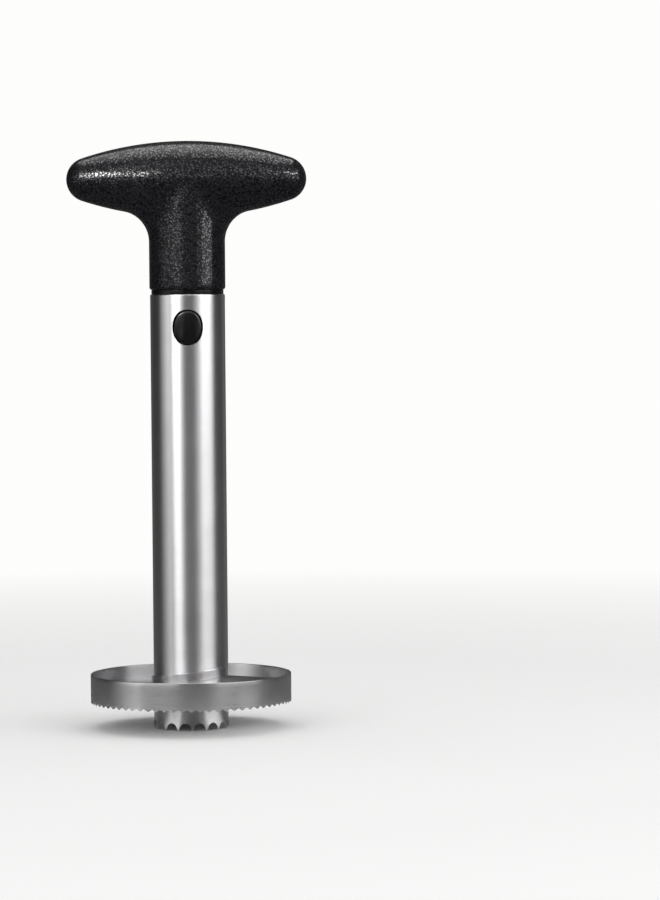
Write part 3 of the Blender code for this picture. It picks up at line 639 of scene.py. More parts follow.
BLADE_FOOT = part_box("slicing_blade")[0]
BLADE_PITCH = 0.010
BLADE_THICKNESS = 0.0009
BLADE_START_DEGREES = 330.0
BLADE_BEVEL_DEGREES = 8.0
BLADE_BEVEL_COLUMNS = 10
BLADE_COLUMNS = 150
BLADE_EDGE_SHARE = 0.2
BLADE_TEETH = 7
BLADE_TOOTH_POINTS = 8
BLADE_TOOTH_DEGREES = 2.0
BLADE_SEAT = 0.00003
BLADE_BEND = 0.0007
BLADE_LEAST_BEND = BLADE_BEND / 4
BLADE_BEND_STEPS = 4
HUB_HEIGHT = 0.0045
HUB_RISE_STEPS = 3
HUB_TOP_ROUND = 0.00015
WELD_SPOTS = 7
WELD_RADIUS = 0.0011
WELD_DEPTH = 0.00003
WELD_HEIGHT = HUB_HEIGHT * 0.6
WELD_PITCH = math.tau * TUBE_RADIUS / WELD_SPOTS
WELD_HUB = TUBE_RADIUS + BLADE_THICKNESS * 1.3
WELD_FLAT = WELD_RADIUS * 0.55
WELD_HALO = (WELD_RADIUS * 2.1, WELD_RADIUS * 1.1)
WELD_HALO_TINT = 0.45
WELD_LINE_SHARE = 0.04
WELD_STRAW = (0.48, 0.42, 0.34, 1.0)
WELD_BLUE = (0.46, 0.46, 0.49, 1.0)


def blade_section():
    """The blade's lower and upper skin, each as (radius, height) from the flange's top down,
    round the fold and out to the rim."""
    hub = TUBE_RADIUS + BLADE_SEAT
    rim = RING_RADIUS - RING_WALL - BLADE_SEAT
    count = BLADE_TEETH * BLADE_TOOTH_POINTS
    skins = []
    for lift in (0.0, BLADE_THICKNESS):
        bend = max(BLADE_BEND - lift, BLADE_LEAST_BEND)
        wall, fold = hub + lift, lift + bend
        top = HUB_HEIGHT - HUB_TOP_ROUND * (lift > 0)
        points = [
            (wall, top + (fold - top) * i / HUB_RISE_STEPS) for i in range(HUB_RISE_STEPS + 1)
        ]
        points += rounded((wall + bend, fold), bend, 180, 270, BLADE_BEND_STEPS)[1:]
        start = points[-1][0]
        points += [(start + (rim - start) * i / count, lift) for i in range(1, count + 1)]
        skins.append([(radius, 0.0, z) for radius, z in points])
    return skins


def blade_recipe(section, material):
    """Winds the section up round the tube. The first columns are drawn into teeth and squeezed
    thin towards the cutting edge."""
    sizes = {"Columns": BLADE_COLUMNS, "Bevel Columns": BLADE_BEVEL_COLUMNS,
             "Start": math.radians(BLADE_START_DEGREES),
             "Bevel": math.radians(BLADE_BEVEL_DEGREES), "Pitch": BLADE_PITCH,
             "Teeth": BLADE_TEETH, "Tooth Reach": math.radians(BLADE_TOOTH_DEGREES),
             "Underside": BLADE_FOOT.z, "Edge Share": BLADE_EDGE_SHARE,
             "Hub": TUBE_RADIUS + BLADE_SEAT, "Rim": RING_RADIUS - RING_WALL - BLADE_SEAT}
    tree, given, out = recipe("toothed_spiral", sizes)
    sheet, column, radius, height, _ = swept(tree, given, len(section))
    early = between(column, 0.0, given["Bevel Columns"])
    late = between(column, given["Bevel Columns"], given["Columns"])
    turned_by = early * given["Bevel"] + late * (math.tau - given["Bevel"])
    tooth = 1.0 - zigzag(between(radius, given["Hub"], given["Rim"]) * given["Teeth"])
    turned_by = turned_by + tooth * (1.0 - early) * given["Tooth Reach"]
    thin = between(early, 0.0, 1.0, given["Edge Share"], 1.0)
    climb = turned_by / math.tau * given["Pitch"]
    place = climb + height * thin + given["Underside"]
    piece = set_round(sheet, radius, given["Start"] + turned_by, place)
    finish_recipe(out, piece, material)
    return tree, sizes


def spot_welds(tree, shader, colour, lines):
    """Round weld spots along the flange, a little sunk, with a faint straw and blue heat tint."""
    x, y, z = split(object_place(tree))
    share = calculate("ARCTAN2", y, x) / math.tau
    climbed = (z - BLADE_FOOT.z) / BLADE_PITCH
    above = calculate("FRACT", climbed - (share - BLADE_START_DEGREES / 360)) * BLADE_PITCH
    beside = (calculate("FRACT", share * float(WELD_SPOTS)) - 0.5) * WELD_PITCH
    distance = off_axis(beside, above - WELD_HEIGHT)
    on_hub = calculate("LESS_THAN", off_axis(x, y), WELD_HUB)
    spot = on_hub * between(distance, WELD_RADIUS, WELD_FLAT)
    halo = on_hub * between(distance, *WELD_HALO, to_high=WELD_HALO_TINT)
    feed(shader, "Base Color", tint(spot, tint(halo, colour, WELD_STRAW), WELD_BLUE))
    relief(shader, lines * WELD_LINE_SHARE - spot, WELD_DEPTH)


def blade_steel():
    """Sheet steel whose lines run with the spiral, with the spot welds on its hub."""
    made, tree, shader = sheet_steel(
        "blade_sheet_steel",
        lambda tree: round_axis(tree, around=0.9, along=240.0, outward=4200.0),
    )
    colour = Measure(shader.inputs["Base Color"].links[0].from_socket)
    bump = shader.inputs["Normal"].links[0].from_node
    lines = Measure(bump.inputs["Height"].links[0].from_socket)
    tree.nodes.remove(bump)
    spot_welds(tree, shader, colour, lines)
    return made


def spiral_blade(material):
    """The swept blade, with both ends closed between its lower and upper skin."""
    lower, upper = blade_section()
    section = [*lower, *reversed(upper), lower[0]]
    bm = grow("blade_section", section, *blade_recipe(section, material))
    bm.verts.ensure_lookup_table()
    size = len(section)
    for first in (0, BLADE_COLUMNS * size):
        for j in range(len(lower) - 1):
            low, high = first + j, first + size - 2 - j
            bm.faces.new([bm.verts[k] for k in (low, low + 1, high - 1, high)])
    return shape("spiral_blade", bm)


BLADE_STEEL = blade_steel()
blade_piece = spiral_blade(BLADE_STEEL)
blade_piece.data.materials.append(BLADE_STEEL)
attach(blade_piece, "cutter")
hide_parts("slicing_blade")

# Grip
# Soft-touch black shell moulded in one piece over the handle's core: a barrel-shaped crossbar
# blended into a round neck, with the fine pebble texture that its mould was etched with.

GRIP_FOOT, GRIP_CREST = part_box("grip")
BAR_HALF_LENGTH = GRIP_CREST.x
BAR_RADIUS = GRIP_CREST.y
BAR_END_RADIUS = 0.0093
NECK_RADIUS = 0.01585
NECK_FILLET = 0.0123
NECK_FOOT_ROUND = 0.0012
NECK_BORE_RADIUS = 0.0124
NECK_BORE_STEPS = 64
GRIP_WALL = 0.003
GRIP_LEVELS = 4
GRIP_DRAW_PASSES = 10
CAGE_SIDES = 8
CAGE_NECK_HEIGHT_SHARES = (0.62, 0.3)
CAGE_BAR_LENGTH_SHARES = (1.0, 0.9, 0.66)
CAGE_BAR_RADIUS_SHARES = (0.3, 0.7, 1.0)
BAR_HOLLOW_STEPS = 24
BAR_HOLLOW_ROWS = 6
FOOT_ROUND_STEPS = 5
BAR_HEIGHT = GRIP_CREST.z - BAR_RADIUS
BAR_CAP_CENTRE = BAR_HALF_LENGTH - BAR_END_RADIUS
BAR_ARC_RADIUS = (BAR_CAP_CENTRE**2 + BAR_RADIUS**2 - BAR_END_RADIUS**2) / (
    (BAR_RADIUS - BAR_END_RADIUS) * 2
)
BAR_ARC_CENTRE = BAR_RADIUS - BAR_ARC_RADIUS
PEBBLE_SIZE = 0.00092
PEBBLE_DEPTH = 0.00014
PEBBLE_TILT = 1.8
PEBBLE_DOME = (0.10, 0.80, 1.0, 0.0)
PEBBLE_DOME_SHARE = 0.75
PEBBLE_GRIT_SHARE = 0.35
PEBBLE_GRIT_FINER = 2.7
PEBBLE_VALLEYS = (0.55, 0.25)
PEBBLE_TOPS = (0.56, 0.80, 0.05, 1.0)
PEBBLE_ROUGHNESS = (0.38, 0.10)
PALM_TURN = (0.45, 0.80)
PALM_POLISH = 0.22
FINGER_HEIGHTS = (GRIP_FOOT.z + 0.024, GRIP_FOOT.z + 0.034)
FINGER_POLISH = 0.13
POLISH_FLATTENS = 1.5
SHADE_SHARE = 0.85
DUST_SHARE = 0.12
SHELL_DARK = (0.0095, 0.0087, 0.0115, 1.0)
SHELL_LIGHT = (0.0125, 0.0114, 0.0150, 1.0)
SHELL_SHADE = (0.0010, 0.0009, 0.0012, 1.0)
SHELL_DUST = (0.050, 0.048, 0.047, 1.0)
SHELL_WORN = (0.022, 0.021, 0.024, 1.0)


def bar_distance(point):
    """How far a point lies outside the crossbar, and the straight way out."""
    across = Vector((0, point.y, point.z - BAR_HEIGHT))
    radius = across.length
    outward = across.normalized() if radius else Vector((0, 0, 1))
    side = math.copysign(1, point.x)
    if abs(point.x) * -BAR_ARC_CENTRE > (radius - BAR_ARC_CENTRE) * BAR_CAP_CENTRE:
        away = Vector((abs(point.x) - BAR_CAP_CENTRE, radius))
        distance = away.length - BAR_END_RADIUS
    else:
        away = Vector((abs(point.x), radius - BAR_ARC_CENTRE))
        distance = away.length - BAR_ARC_RADIUS
    away.normalize()
    return distance, Vector((side * away.x, 0, 0)) + outward * away.y


def grip_distance(point):
    """How far a point lies outside the grip, and the straight way out. In the crook between neck
    and crossbar the surface is the one that a ball of the fillet's radius would leave."""
    bar, bar_out = bar_distance(point)
    if point.z > BAR_HEIGHT:
        return bar, bar_out
    across = Vector((point.x, point.y, 0))
    neck, neck_out = across.length - NECK_RADIUS, across.normalized()
    u, v = NECK_FILLET - bar, NECK_FILLET - neck
    cosine = min(bar_out.dot(neck_out), 1 - 1e-6)
    sine_squared = 1 - cosine**2
    from_bar = (u - cosine * v) / sine_squared
    from_neck = (v - cosine * u) / sine_squared
    if from_bar > 0 and from_neck > 0:
        to_ball = bar_out * from_bar + neck_out * from_neck
        return NECK_FILLET - to_ball.length, to_ball.normalized()
    return (bar, bar_out) if bar < neck else (neck, neck_out)


def circle(steps):
    """Cosine and sine of every point of a circle cut in so many steps."""
    turn = [math.tau * i / steps for i in range(steps)]
    return [(math.cos(angle), math.sin(angle)) for angle in turn]


def bar_ring(bm, x, radius, steps):
    """Points round the crossbar's axis."""
    return [bm.verts.new((x, radius * c, BAR_HEIGHT + radius * s)) for c, s in circle(steps)]


def skin(bm, loops):
    """Faces over loops of as many points."""
    for low, high in zip(loops, loops[1:]):
        strip(bm, low, high)


def close_to(bm, loop, tip):
    """Faces from a loop to a point."""
    pole = bm.verts.new(tip)
    for i in range(len(loop)):
        bm.faces.new((loop[i], loop[(i + 1) % len(loop)], pole))


def grip_cage():
    """A coarse T of quads: the crossbar as rings of eight points, with the neck drawn down from
    the hole that the lower middle of the bar leaves."""
    bm = bmesh.new()
    sides = CAGE_SIDES
    left = [
        (-BAR_HALF_LENGTH * length, BAR_RADIUS * radius)
        for length, radius in zip(CAGE_BAR_LENGTH_SHARES, CAGE_BAR_RADIUS_SHARES)
    ]
    left.append((-NECK_RADIUS, BAR_RADIUS))
    stations = [*left, (0.0, BAR_RADIUS), *((-x, radius) for x, radius in reversed(left))]
    rows = [bar_ring(bm, x, radius, sides) for x, radius in stations]
    middle = len(stations) // 2
    for k, (low, high) in enumerate(zip(rows, rows[1:])):
        for i in range(sides):
            in_neck = k in (middle - 1, middle) and i >= sides // 2
            if not in_neck:
                j = (i + 1) % sides
                bm.faces.new((low[i], high[i], high[j], low[j]))
    bm.faces.new(rows[0])
    bm.faces.new(reversed(rows[-1]))

    below = [i % sides for i in range(sides // 2, sides + 1)]
    upper = [rows[middle + 1][i] for i in below] + [rows[middle][0]]
    upper += [rows[middle - 1][i] for i in reversed(below)] + [rows[middle][sides // 2]]
    turns = [math.atan2(vert.co.y, vert.co.x) for vert in upper]
    foot = GRIP_FOOT.z + NECK_FOOT_ROUND
    for share in (*CAGE_NECK_HEIGHT_SHARES, 0.0):
        height = foot + (BAR_HEIGHT - foot) * share
        lower = [
            bm.verts.new((NECK_RADIUS * math.cos(a), NECK_RADIUS * math.sin(a), height))
            for a in turns
        ]
        strip(bm, upper, lower)
        upper = lower
    return bm


def bar_hollow():
    """The crossbar's form drawn in by the shell's wall, turned about its own axis."""
    cap, arc = BAR_END_RADIUS - GRIP_WALL, BAR_ARC_RADIUS - GRIP_WALL
    lean = math.atan2(BAR_CAP_CENTRE, -BAR_ARC_CENTRE)
    shares = [1 - (i + 1) / BAR_HOLLOW_ROWS for i in range(BAR_HOLLOW_ROWS)]
    right = []
    for share in shares:
        angle = lean + (math.pi / 2 - lean) * share
        right.append((BAR_CAP_CENTRE + cap * math.sin(angle), cap * math.cos(angle)))
    for share in shares:
        angle = lean * share
        right.append((arc * math.sin(angle), arc * math.cos(angle) + BAR_ARC_CENTRE))
    profile = right + [(-x, radius) for x, radius in reversed(right[:-1])]
    bm = bmesh.new()
    loops = [bar_ring(bm, x, radius, BAR_HOLLOW_STEPS) for x, radius in profile]
    skin(bm, loops)
    close_to(bm, loops[0], (BAR_CAP_CENTRE + cap, 0.0, BAR_HEIGHT))
    close_to(bm, loops[-1], (-BAR_CAP_CENTRE - cap, 0.0, BAR_HEIGHT))
    return bm


def settle(obj):
    """Bakes an object's modifiers into its own mesh."""
    evaluated = obj.evaluated_get(bpy.context.evaluated_depsgraph_get())
    obj.data = bpy.data.meshes.new_from_object(evaluated)
    obj.modifiers.clear()
    obj.data.shade_smooth()
    obj.data.set_sharp_from_angle(angle=math.radians(SHARP_DEGREES))


def cut_out(obj, bm, operation="DIFFERENCE"):
    """Cuts a closed form out of a piece, or joins it on."""
    tool = shape(f"{obj.name}_cut", bm)
    boolean = obj.modifiers.new("cut", "BOOLEAN")
    boolean.operation = operation
    boolean.solver = "EXACT"
    boolean.object = tool
    settle(obj)
    bpy.data.objects.remove(tool)


def turned(outline, steps):
    """A turned solid about Z, whose outline of (radius, height) starts and ends on the axis."""
    bm = bmesh.new()
    loops = [
        [bm.verts.new((radius * c, radius * s, z)) for c, s in circle(steps)]
        for radius, z in outline[1:-1]
    ]
    skin(bm, loops)
    close_to(bm, loops[0], (0.0, 0.0, outline[0][1]))
    close_to(bm, loops[-1], (0.0, 0.0, outline[-1][1]))
    return bm


def pebbled_grip():
    """The shell: a subdivided cage drawn onto the T's true form, closed by a rounded foot."""
    cage = shape("grip_cage", grip_cage())
    subdivision = cage.modifiers.new("smooth", "SUBSURF")
    subdivision.levels = GRIP_LEVELS
    subdivision.render_levels = GRIP_LEVELS
    bm = bmesh.new()
    bm.from_object(cage, bpy.context.evaluated_depsgraph_get())
    bpy.data.objects.remove(cage)
    for vert in bm.verts:
        for _ in range(GRIP_DRAW_PASSES):
            distance, out = grip_distance(vert.co)
            if abs(distance) < MERGE:
                break
            vert.co -= out * distance
    rim = [edge for edge in bm.edges if edge.is_boundary]
    rim_height = GRIP_FOOT.z + NECK_FOOT_ROUND
    for vert in {v for edge in rim for v in edge.verts}:
        vert.co.z = rim_height
    for step in range(1, FOOT_ROUND_STEPS + 1):
        angle = math.pi / 2 * step / FOOT_ROUND_STEPS
        ring = bmesh.ops.extrude_edge_only(bm, edges=rim)["geom"]
        rim = [item for item in ring if isinstance(item, bmesh.types.BMEdge)]
        radius = NECK_RADIUS - NECK_FOOT_ROUND * (1 - math.cos(angle))
        for vert in [item for item in ring if isinstance(item, bmesh.types.BMVert)]:
            around = math.atan2(vert.co.y, vert.co.x)
            vert.co.x = radius * math.cos(around)
            vert.co.y = radius * math.sin(around)
            vert.co.z = rim_height - NECK_FOOT_ROUND * math.sin(angle)
    bmesh.ops.contextual_create(bm, geom=rim)
    grip = shape("pebbled_grip", bm)
    cut_out(grip, bar_hollow())
    bore_foot = GRIP_FOOT.z - GRIP_WALL
    bore = [(0, bore_foot), (NECK_BORE_RADIUS, bore_foot), (NECK_BORE_RADIUS, BAR_HEIGHT),
            (0, BAR_HEIGHT)]
    cut_out(grip, turned(bore, NECK_BORE_STEPS))
    return grip


def pebble_effect():
    """Etched leather-like pebble: rounded cells, each leaning its own way, with a finer grit."""
    tree, given, out = effect("pebble", {"Size": PEBBLE_SIZE}, ["Height", "Valleys", "Tops"])
    scale = 1.0 / given["Size"]
    place = object_place(tree)
    swaying = {"Vector": place, "Scale": scale, "Detail": 1.0}
    sway = measure(tree, "ShaderNodeTexNoise", swaying, "Color")
    swayed = measure(tree, "ShaderNodeVectorMath", {0: sway, "Scale": PEBBLE_SIZE},
                     operation="SCALE")
    moved = calculate_place("ADD", place, swayed)
    cells = measures(add(tree, "ShaderNodeTexVoronoi", {"Vector": moved, "Scale": scale}))
    domes = between(cells["Distance"], *PEBBLE_DOME)
    grit = noise(place, scale * PEBBLE_GRIT_FINER)
    off_middle = calculate_place("SUBTRACT", moved, cells["Position"])
    lean = calculate_place("SUBTRACT", cells["Color"], (0.5, 0.5, 0.5))
    tilt = calculate_place("DOT_PRODUCT", off_middle, lean, "Value") * scale * PEBBLE_TILT
    height = domes * PEBBLE_DOME_SHARE + grit * PEBBLE_GRIT_SHARE
    feed(out, "Height", height + tilt)
    feed(out, "Valleys", between(height, *PEBBLE_VALLEYS))
    feed(out, "Tops", between(height, *PEBBLE_TOPS))
    return tree


PEBBLE = pebble_effect()


def pebbled_plastic():
    """Near-black plastic: pebbles polished by hands, most where palms press from above and fingers
    close round the neck, with shade and a trace of dust between."""
    made, tree, shader = finish("grip_pebbled_plastic", SHELL_DARK, roughness=0.26)
    shader.inputs["Specular IOR Level"].default_value = 0.05
    shader.inputs["Coat Roughness"].default_value = 0.11
    pebble = use(tree, PEBBLE, size=PEBBLE_SIZE)
    marks = use(tree, HANDLING, size=0.03)
    wear_and_highlight = use(tree, EDGE_WEAR_AND_HIGHLIGHT, reach=0.0006, amount=0.5)["Mask"]
    upward = split(measure(tree, "ShaderNodeTexCoord", output="Normal"))[2]
    level = split(object_place(tree))[2]
    palm = between(upward, *PALM_TURN, to_high=PALM_POLISH)
    held = palm + between(level, *FINGER_HEIGHTS, FINGER_POLISH, 0.0)
    feed(shader, "Coat Weight", calculate("MAXIMUM", pebble["Tops"], held))
    colour = tint(marks["Smears"], SHELL_DARK, SHELL_LIGHT)
    colour = tint(pebble["Valleys"] * SHADE_SHARE, colour, SHELL_SHADE)
    colour = tint(pebble["Valleys"] * marks["Specks"] * DUST_SHARE, colour, SHELL_DUST)
    feed(shader, "Base Color", tint(wear_and_highlight, colour, SHELL_WORN))
    rough = between(pebble["Height"], 0.3, 0.9, *PEBBLE_ROUGHNESS) + marks["Smears"] * -0.04
    feed(shader, "Roughness", rough)
    relief(shader, pebble["Height"] * (1.0 - held * POLISH_FLATTENS), PEBBLE_DEPTH)
    return made


grip_piece = pebbled_grip()
grip_piece.data.materials.clear()
grip_piece.data.materials.append(pebbled_plastic())
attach(grip_piece, "handle")
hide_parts("grip")

# Handle core
# Stiff ribbed T of glass-filled nylon, pocketed from front and back, over which the grip is
# moulded. Its column takes the two screws. It keeps its CAD shape, which nothing else shows.

CORE_GREY = (0.055, 0.056, 0.060, 1.0)
CORE_LIGHT = (0.075, 0.076, 0.080, 1.0)
CORE_EDGE = (0.13, 0.13, 0.13, 1.0)
CORE_FIBRE = (0.30, 0.30, 0.30, 1.0)
FIBRE_STRETCH = (900.0, 5200.0, 5200.0)
FIBRE_BOUNDS = (0.62, 0.70)
FLOW_BOUNDS = (0.35, 0.65)
PEEL_FINER = 8.0


def moulding_effect():
    """A moulded skin: slow flow marks along one way, and the faint orange peel of the mould."""
    tree, given, out = effect("moulding", {"Size": 0.006, "Stretch": 0.35}, ["Flow", "Peel"])
    scale = 1.0 / given["Size"]
    place = object_place(tree)
    x, y, z = split(place)
    flow = noise(join(x, y, z * given["Stretch"]), scale, detail=3.0, distortion=1.2)
    feed(out, "Flow", between(flow, *FLOW_BOUNDS))
    feed(out, "Peel", noise(place, scale * PEEL_FINER, detail=1.0))
    return tree


MOULDING = moulding_effect()


def moulded(name, dark, light, edge, glossy, dull, flow_size, peel_depth, specular=0.5):
    """Moulded plastic between two shades and two roughnesses, with lighter edges: rubbed wear, and
    on the buttons mostly a painted highlight. Returns it, its node tree and its Principled shader."""
    made, tree, shader = finish(name, dark, glossy)
    shader.inputs["Specular IOR Level"].default_value = specular
    skin_marks = use(tree, MOULDING, size=flow_size)
    marks = use(tree, HANDLING, size=0.008)
    wear_and_highlight = use(tree, EDGE_WEAR_AND_HIGHLIGHT, reach=0.0003, amount=0.7)["Mask"]
    # The edge colour is rub wear on plug and core; on the buttons it is mostly a painted highlight
    # along the rim.
    feed(shader, "Base Color", tint(wear_and_highlight, tint(skin_marks["Flow"], dark, light), edge))
    rough = between(skin_marks["Flow"], 0.0, 1.0, glossy, dull) + marks["Smears"] * 0.06
    feed(shader, "Roughness", rough + marks["Specks"] * 0.05)
    relief(shader, skin_marks["Peel"], peel_depth)
    return made, tree, shader


def glass_filled_nylon():
    """Grey nylon with short glass fibres that show as pale flecks along its flow."""
    made, tree, shader = moulded("core_glass_nylon", CORE_GREY, CORE_LIGHT, CORE_EDGE,
                                 glossy=0.48, dull=0.60, flow_size=0.008, peel_depth=0.000012)
    plain = Measure(shader.inputs["Base Color"].links[0].from_socket)
    flecks = between(noise(object_place(tree, FIBRE_STRETCH)), *FIBRE_BOUNDS, to_high=0.5)
    feed(shader, "Base Color", tint(flecks, plain, CORE_FIBRE))
    return made


core_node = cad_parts["handle_core"]
core_node.data.materials.clear()
core_node.data.materials.append(glass_filled_nylon())

# Plug
# Glossy black moulding that locks the handle in the tube: a cup with two button windows, a collar
# between tube and neck, and a spigot up into the neck. A post in its middle backs both springs.

PLUG_FOOT, PLUG_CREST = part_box("plug")
PLUG_CLEARANCE = 0.0003
PLUG_WALL = 0.002
PLUG_WEB = 0.0026
PLUG_MOUTH_ROUND = 0.0006
PLUG_STEPS = 144
PLUG_ROW = 0.0011
COLLAR_RADIUS = PLUG_CREST.x
COLLAR_ROUND = 0.0002
SPIGOT_WALL = 0.002
SMALL_STEPS = 48
POST_HALF_WIDTH = 0.0044
POST_HALF_THICKNESS = 0.001
POST_DROP = 0.0070
POST_ROUND = 0.0012
POST_PEG_LENGTH = 0.0012
PEG_CHAMFER = 0.0003
BUTTON_CLEARANCE = 0.0006
BUTTON_PEG_RADIUS = 0.0019
OVAL_POINTS = 96
OVERRUN = 0.002
SCREW_OFFSET = 0.0075
SCREW_RADIUS = 0.00145
SCREW_BOSS_RADIUS = 0.0032
END_CAP_BEAD = 0.0004
END_CAP_BEAD_WIDTH = 0.0016
END_CAP_BEAD_HEIGHT = 0.0009
PLUG_RADIUS = TUBE_RADIUS - TUBE_WALL - PLUG_CLEARANCE
PLUG_BORE = PLUG_RADIUS - PLUG_WALL
WEB_UNDERSIDE = TUBE_HEIGHT - PLUG_WEB
SPIGOT_RADIUS = NECK_BORE_RADIUS - MERGE * 5
COLLAR_UNDERSIDE = TUBE_HEIGHT + MERGE * 5
PLUG_BLACK = (0.0048, 0.0045, 0.0052, 1.0)
PLUG_BROWN_BLACK = (0.0068, 0.0064, 0.0072, 1.0)
PLUG_EDGE = (0.030, 0.029, 0.031, 1.0)


def finely(outline, longest):
    """The outline with its upright runs parted, so that no face of a turned wall is long."""
    points = [outline[0]]
    for (r0, z0), (r1, z1) in zip(outline, outline[1:]):
        parts = max(1, math.ceil(abs(z1 - z0) / longest)) if r0 == r1 and r0 > 0 else 1
        points += [
            (r0 + (r1 - r0) * i / parts, z0 + (z1 - z0) * i / parts) for i in range(1, parts + 1)
        ]
    return points


def oval(half_width, half_height):
    """Points of the buttons' oval, as (x, z) about its centre."""
    rim = []
    for c, s in circle(OVAL_POINTS):
        x = math.copysign(abs(c) ** (2 / OVAL_POWER), c) * half_width
        z = math.copysign(abs(s) ** (2 / OVAL_POWER), s) * half_height
        rim.append((x, z))
    return rim


def skinned(loops):
    """A closed form over loops of as many points, its first and last loop filled."""
    bm = bmesh.new()
    rows = [[bm.verts.new(point) for point in loop] for loop in loops]
    skin(bm, rows)
    bm.faces.new(reversed(rows[0]))
    bm.faces.new(rows[-1])
    return bm


def round_bar(stations, at, along):
    """A round bar along one axis, X, Y or Z being 0, 1 or 2, as (place, radius) stations."""
    loops = []
    for place, radius in stations:
        loop = []
        for c, s in circle(SMALL_STEPS):
            point = Vector(at)
            point[along] = place
            point[(along + 1) % 3] += radius * c
            point[(along + 2) % 3] += radius * s
            loop.append(point)
        loops.append(loop)
    return skinned(loops)


def plug_outline():
    """Half-plane points of the plug, from under its web round its mouth and up to its spigot."""
    foot, spigot_top = PLUG_FOOT.z, PLUG_CREST.z
    bead_low = foot + END_CAP_BEAD_HEIGHT
    bead_high = bead_low + END_CAP_BEAD_WIDTH
    groove = PLUG_BORE + END_CAP_BEAD
    collar_top = GRIP_FOOT.z
    mouth = (PLUG_RADIUS - PLUG_MOUTH_ROUND, foot + PLUG_MOUTH_ROUND)
    brim = (COLLAR_RADIUS - COLLAR_ROUND, collar_top - COLLAR_ROUND)
    return [
        (0.0, WEB_UNDERSIDE),
        (PLUG_BORE, WEB_UNDERSIDE),
        (PLUG_BORE, bead_high),
        (groove, bead_high - END_CAP_BEAD),
        (groove, bead_low + END_CAP_BEAD),
        (PLUG_BORE, bead_low),
        (PLUG_BORE, foot),
        *rounded(mouth, PLUG_MOUTH_ROUND, -90, 0),
        (PLUG_RADIUS, COLLAR_UNDERSIDE),
        (COLLAR_RADIUS, COLLAR_UNDERSIDE),
        *rounded(brim, COLLAR_ROUND, 0, 90),
        (SPIGOT_RADIUS, collar_top),
        (SPIGOT_RADIUS, spigot_top),
        (SPIGOT_RADIUS - SPIGOT_WALL, spigot_top),
        (SPIGOT_RADIUS - SPIGOT_WALL, TUBE_HEIGHT),
        (0.0, TUBE_HEIGHT),
    ]


def plug_post():
    """The flat post, with the lower corners round."""
    foot, top = WINDOW_HEIGHT - POST_DROP, WEB_UNDERSIDE + PLUG_WEB / 2
    half, low = POST_HALF_WIDTH - POST_ROUND, foot + POST_ROUND
    outline = [(-POST_HALF_WIDTH, top), *rounded((-half, low), POST_ROUND, 180, 270),
               *rounded((half, low), POST_ROUND, 270, 360), (POST_HALF_WIDTH, top)]
    thick = POST_HALF_THICKNESS
    return skinned([[(x, y, z) for x, z in outline] for y in (-thick, thick)])


def window_bar(grow):
    """An oval bar through both windows."""
    rim = oval(WINDOW_HALF_WIDTH + grow, WINDOW_HALF_HEIGHT + grow)
    reach = TUBE_RADIUS + OVERRUN
    return skinned([[(x, y, WINDOW_HEIGHT + z) for x, z in rim] for y in (-reach, reach)])


def glossy_plug():
    """The plug, turned, then cut and joined as its mould forms it."""
    plug = shape("glossy_plug", turned(finely(plug_outline(), PLUG_ROW), PLUG_STEPS))
    cut_out(plug, window_bar(-BUTTON_CLEARANCE / 2))
    cut_out(plug, plug_post(), "UNION")
    reach, narrow = POST_HALF_THICKNESS + POST_PEG_LENGTH, BUTTON_PEG_RADIUS - PEG_CHAMFER
    pegs = [(-reach, narrow), (-reach + PEG_CHAMFER, BUTTON_PEG_RADIUS),
            (reach - PEG_CHAMFER, BUTTON_PEG_RADIUS), (reach, narrow)]
    cut_out(plug, round_bar(pegs, (0, 0, WINDOW_HEIGHT), 1), "UNION")
    top = PLUG_CREST.z
    boss = [(WEB_UNDERSIDE + PLUG_WEB / 2, SCREW_BOSS_RADIUS), (top, SCREW_BOSS_RADIUS)]
    hole_radius = SCREW_RADIUS + PLUG_CLEARANCE
    hole = [(WEB_UNDERSIDE - OVERRUN, hole_radius), (top + OVERRUN, hole_radius)]
    for bar, operation in ((boss, "UNION"), (hole, "DIFFERENCE")):
        for x in (-SCREW_OFFSET, SCREW_OFFSET):
            cut_out(plug, round_bar(bar, (x, 0, 0), 2), operation)
    return plug


PLUG_PLASTIC = moulded("plug_gloss_plastic", PLUG_BLACK, PLUG_BROWN_BLACK, PLUG_EDGE,
                       glossy=0.10, dull=0.17, flow_size=0.007, peel_depth=0.000006,
                       specular=0.13)[0]
plug_piece = glossy_plug()
plug_piece.data.materials.clear()
plug_piece.data.materials.append(PLUG_PLASTIC)
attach(plug_piece, "handle")
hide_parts("plug")

# Plug screws
# Two thread-forming screws, zinc-plated, pan heads with a cross recess. They come up through the
# plug's bosses and pull it and the grip's neck together on the core.

SCREW_LENGTH = 0.017
SCREW_TIP_LENGTH = 0.0022
SCREW_HEAD_RADIUS = 0.0026
SCREW_HEAD_HEIGHT = 0.0017
SCREW_HEAD_ROUND = 0.0009
SCREW_NECK_LENGTH = 0.0022
SCREW_CORE_RADIUS = 0.00105
SCREW_THREAD_PITCH = 0.0011
SCREW_THREAD_ROWS = 8
SCREW_COLUMNS = 28
RECESS_REACH = 0.0013
RECESS_HALF_WIDTH = 0.0003
RECESS_DEPTH = 0.0010
RECESS_FLOOR_SHARE = 0.45
SCREW_COUNT = 2
SCREW_ROUGHNESS = (0.26, 0.42)
ZINC = (0.60, 0.61, 0.64, 1.0)
ZINC_COOL = (0.58, 0.59, 0.63, 1.0)
ZINC_STRAW = (0.62, 0.59, 0.50, 1.0)
ZINC_WORN = (0.80, 0.80, 0.82, 1.0)


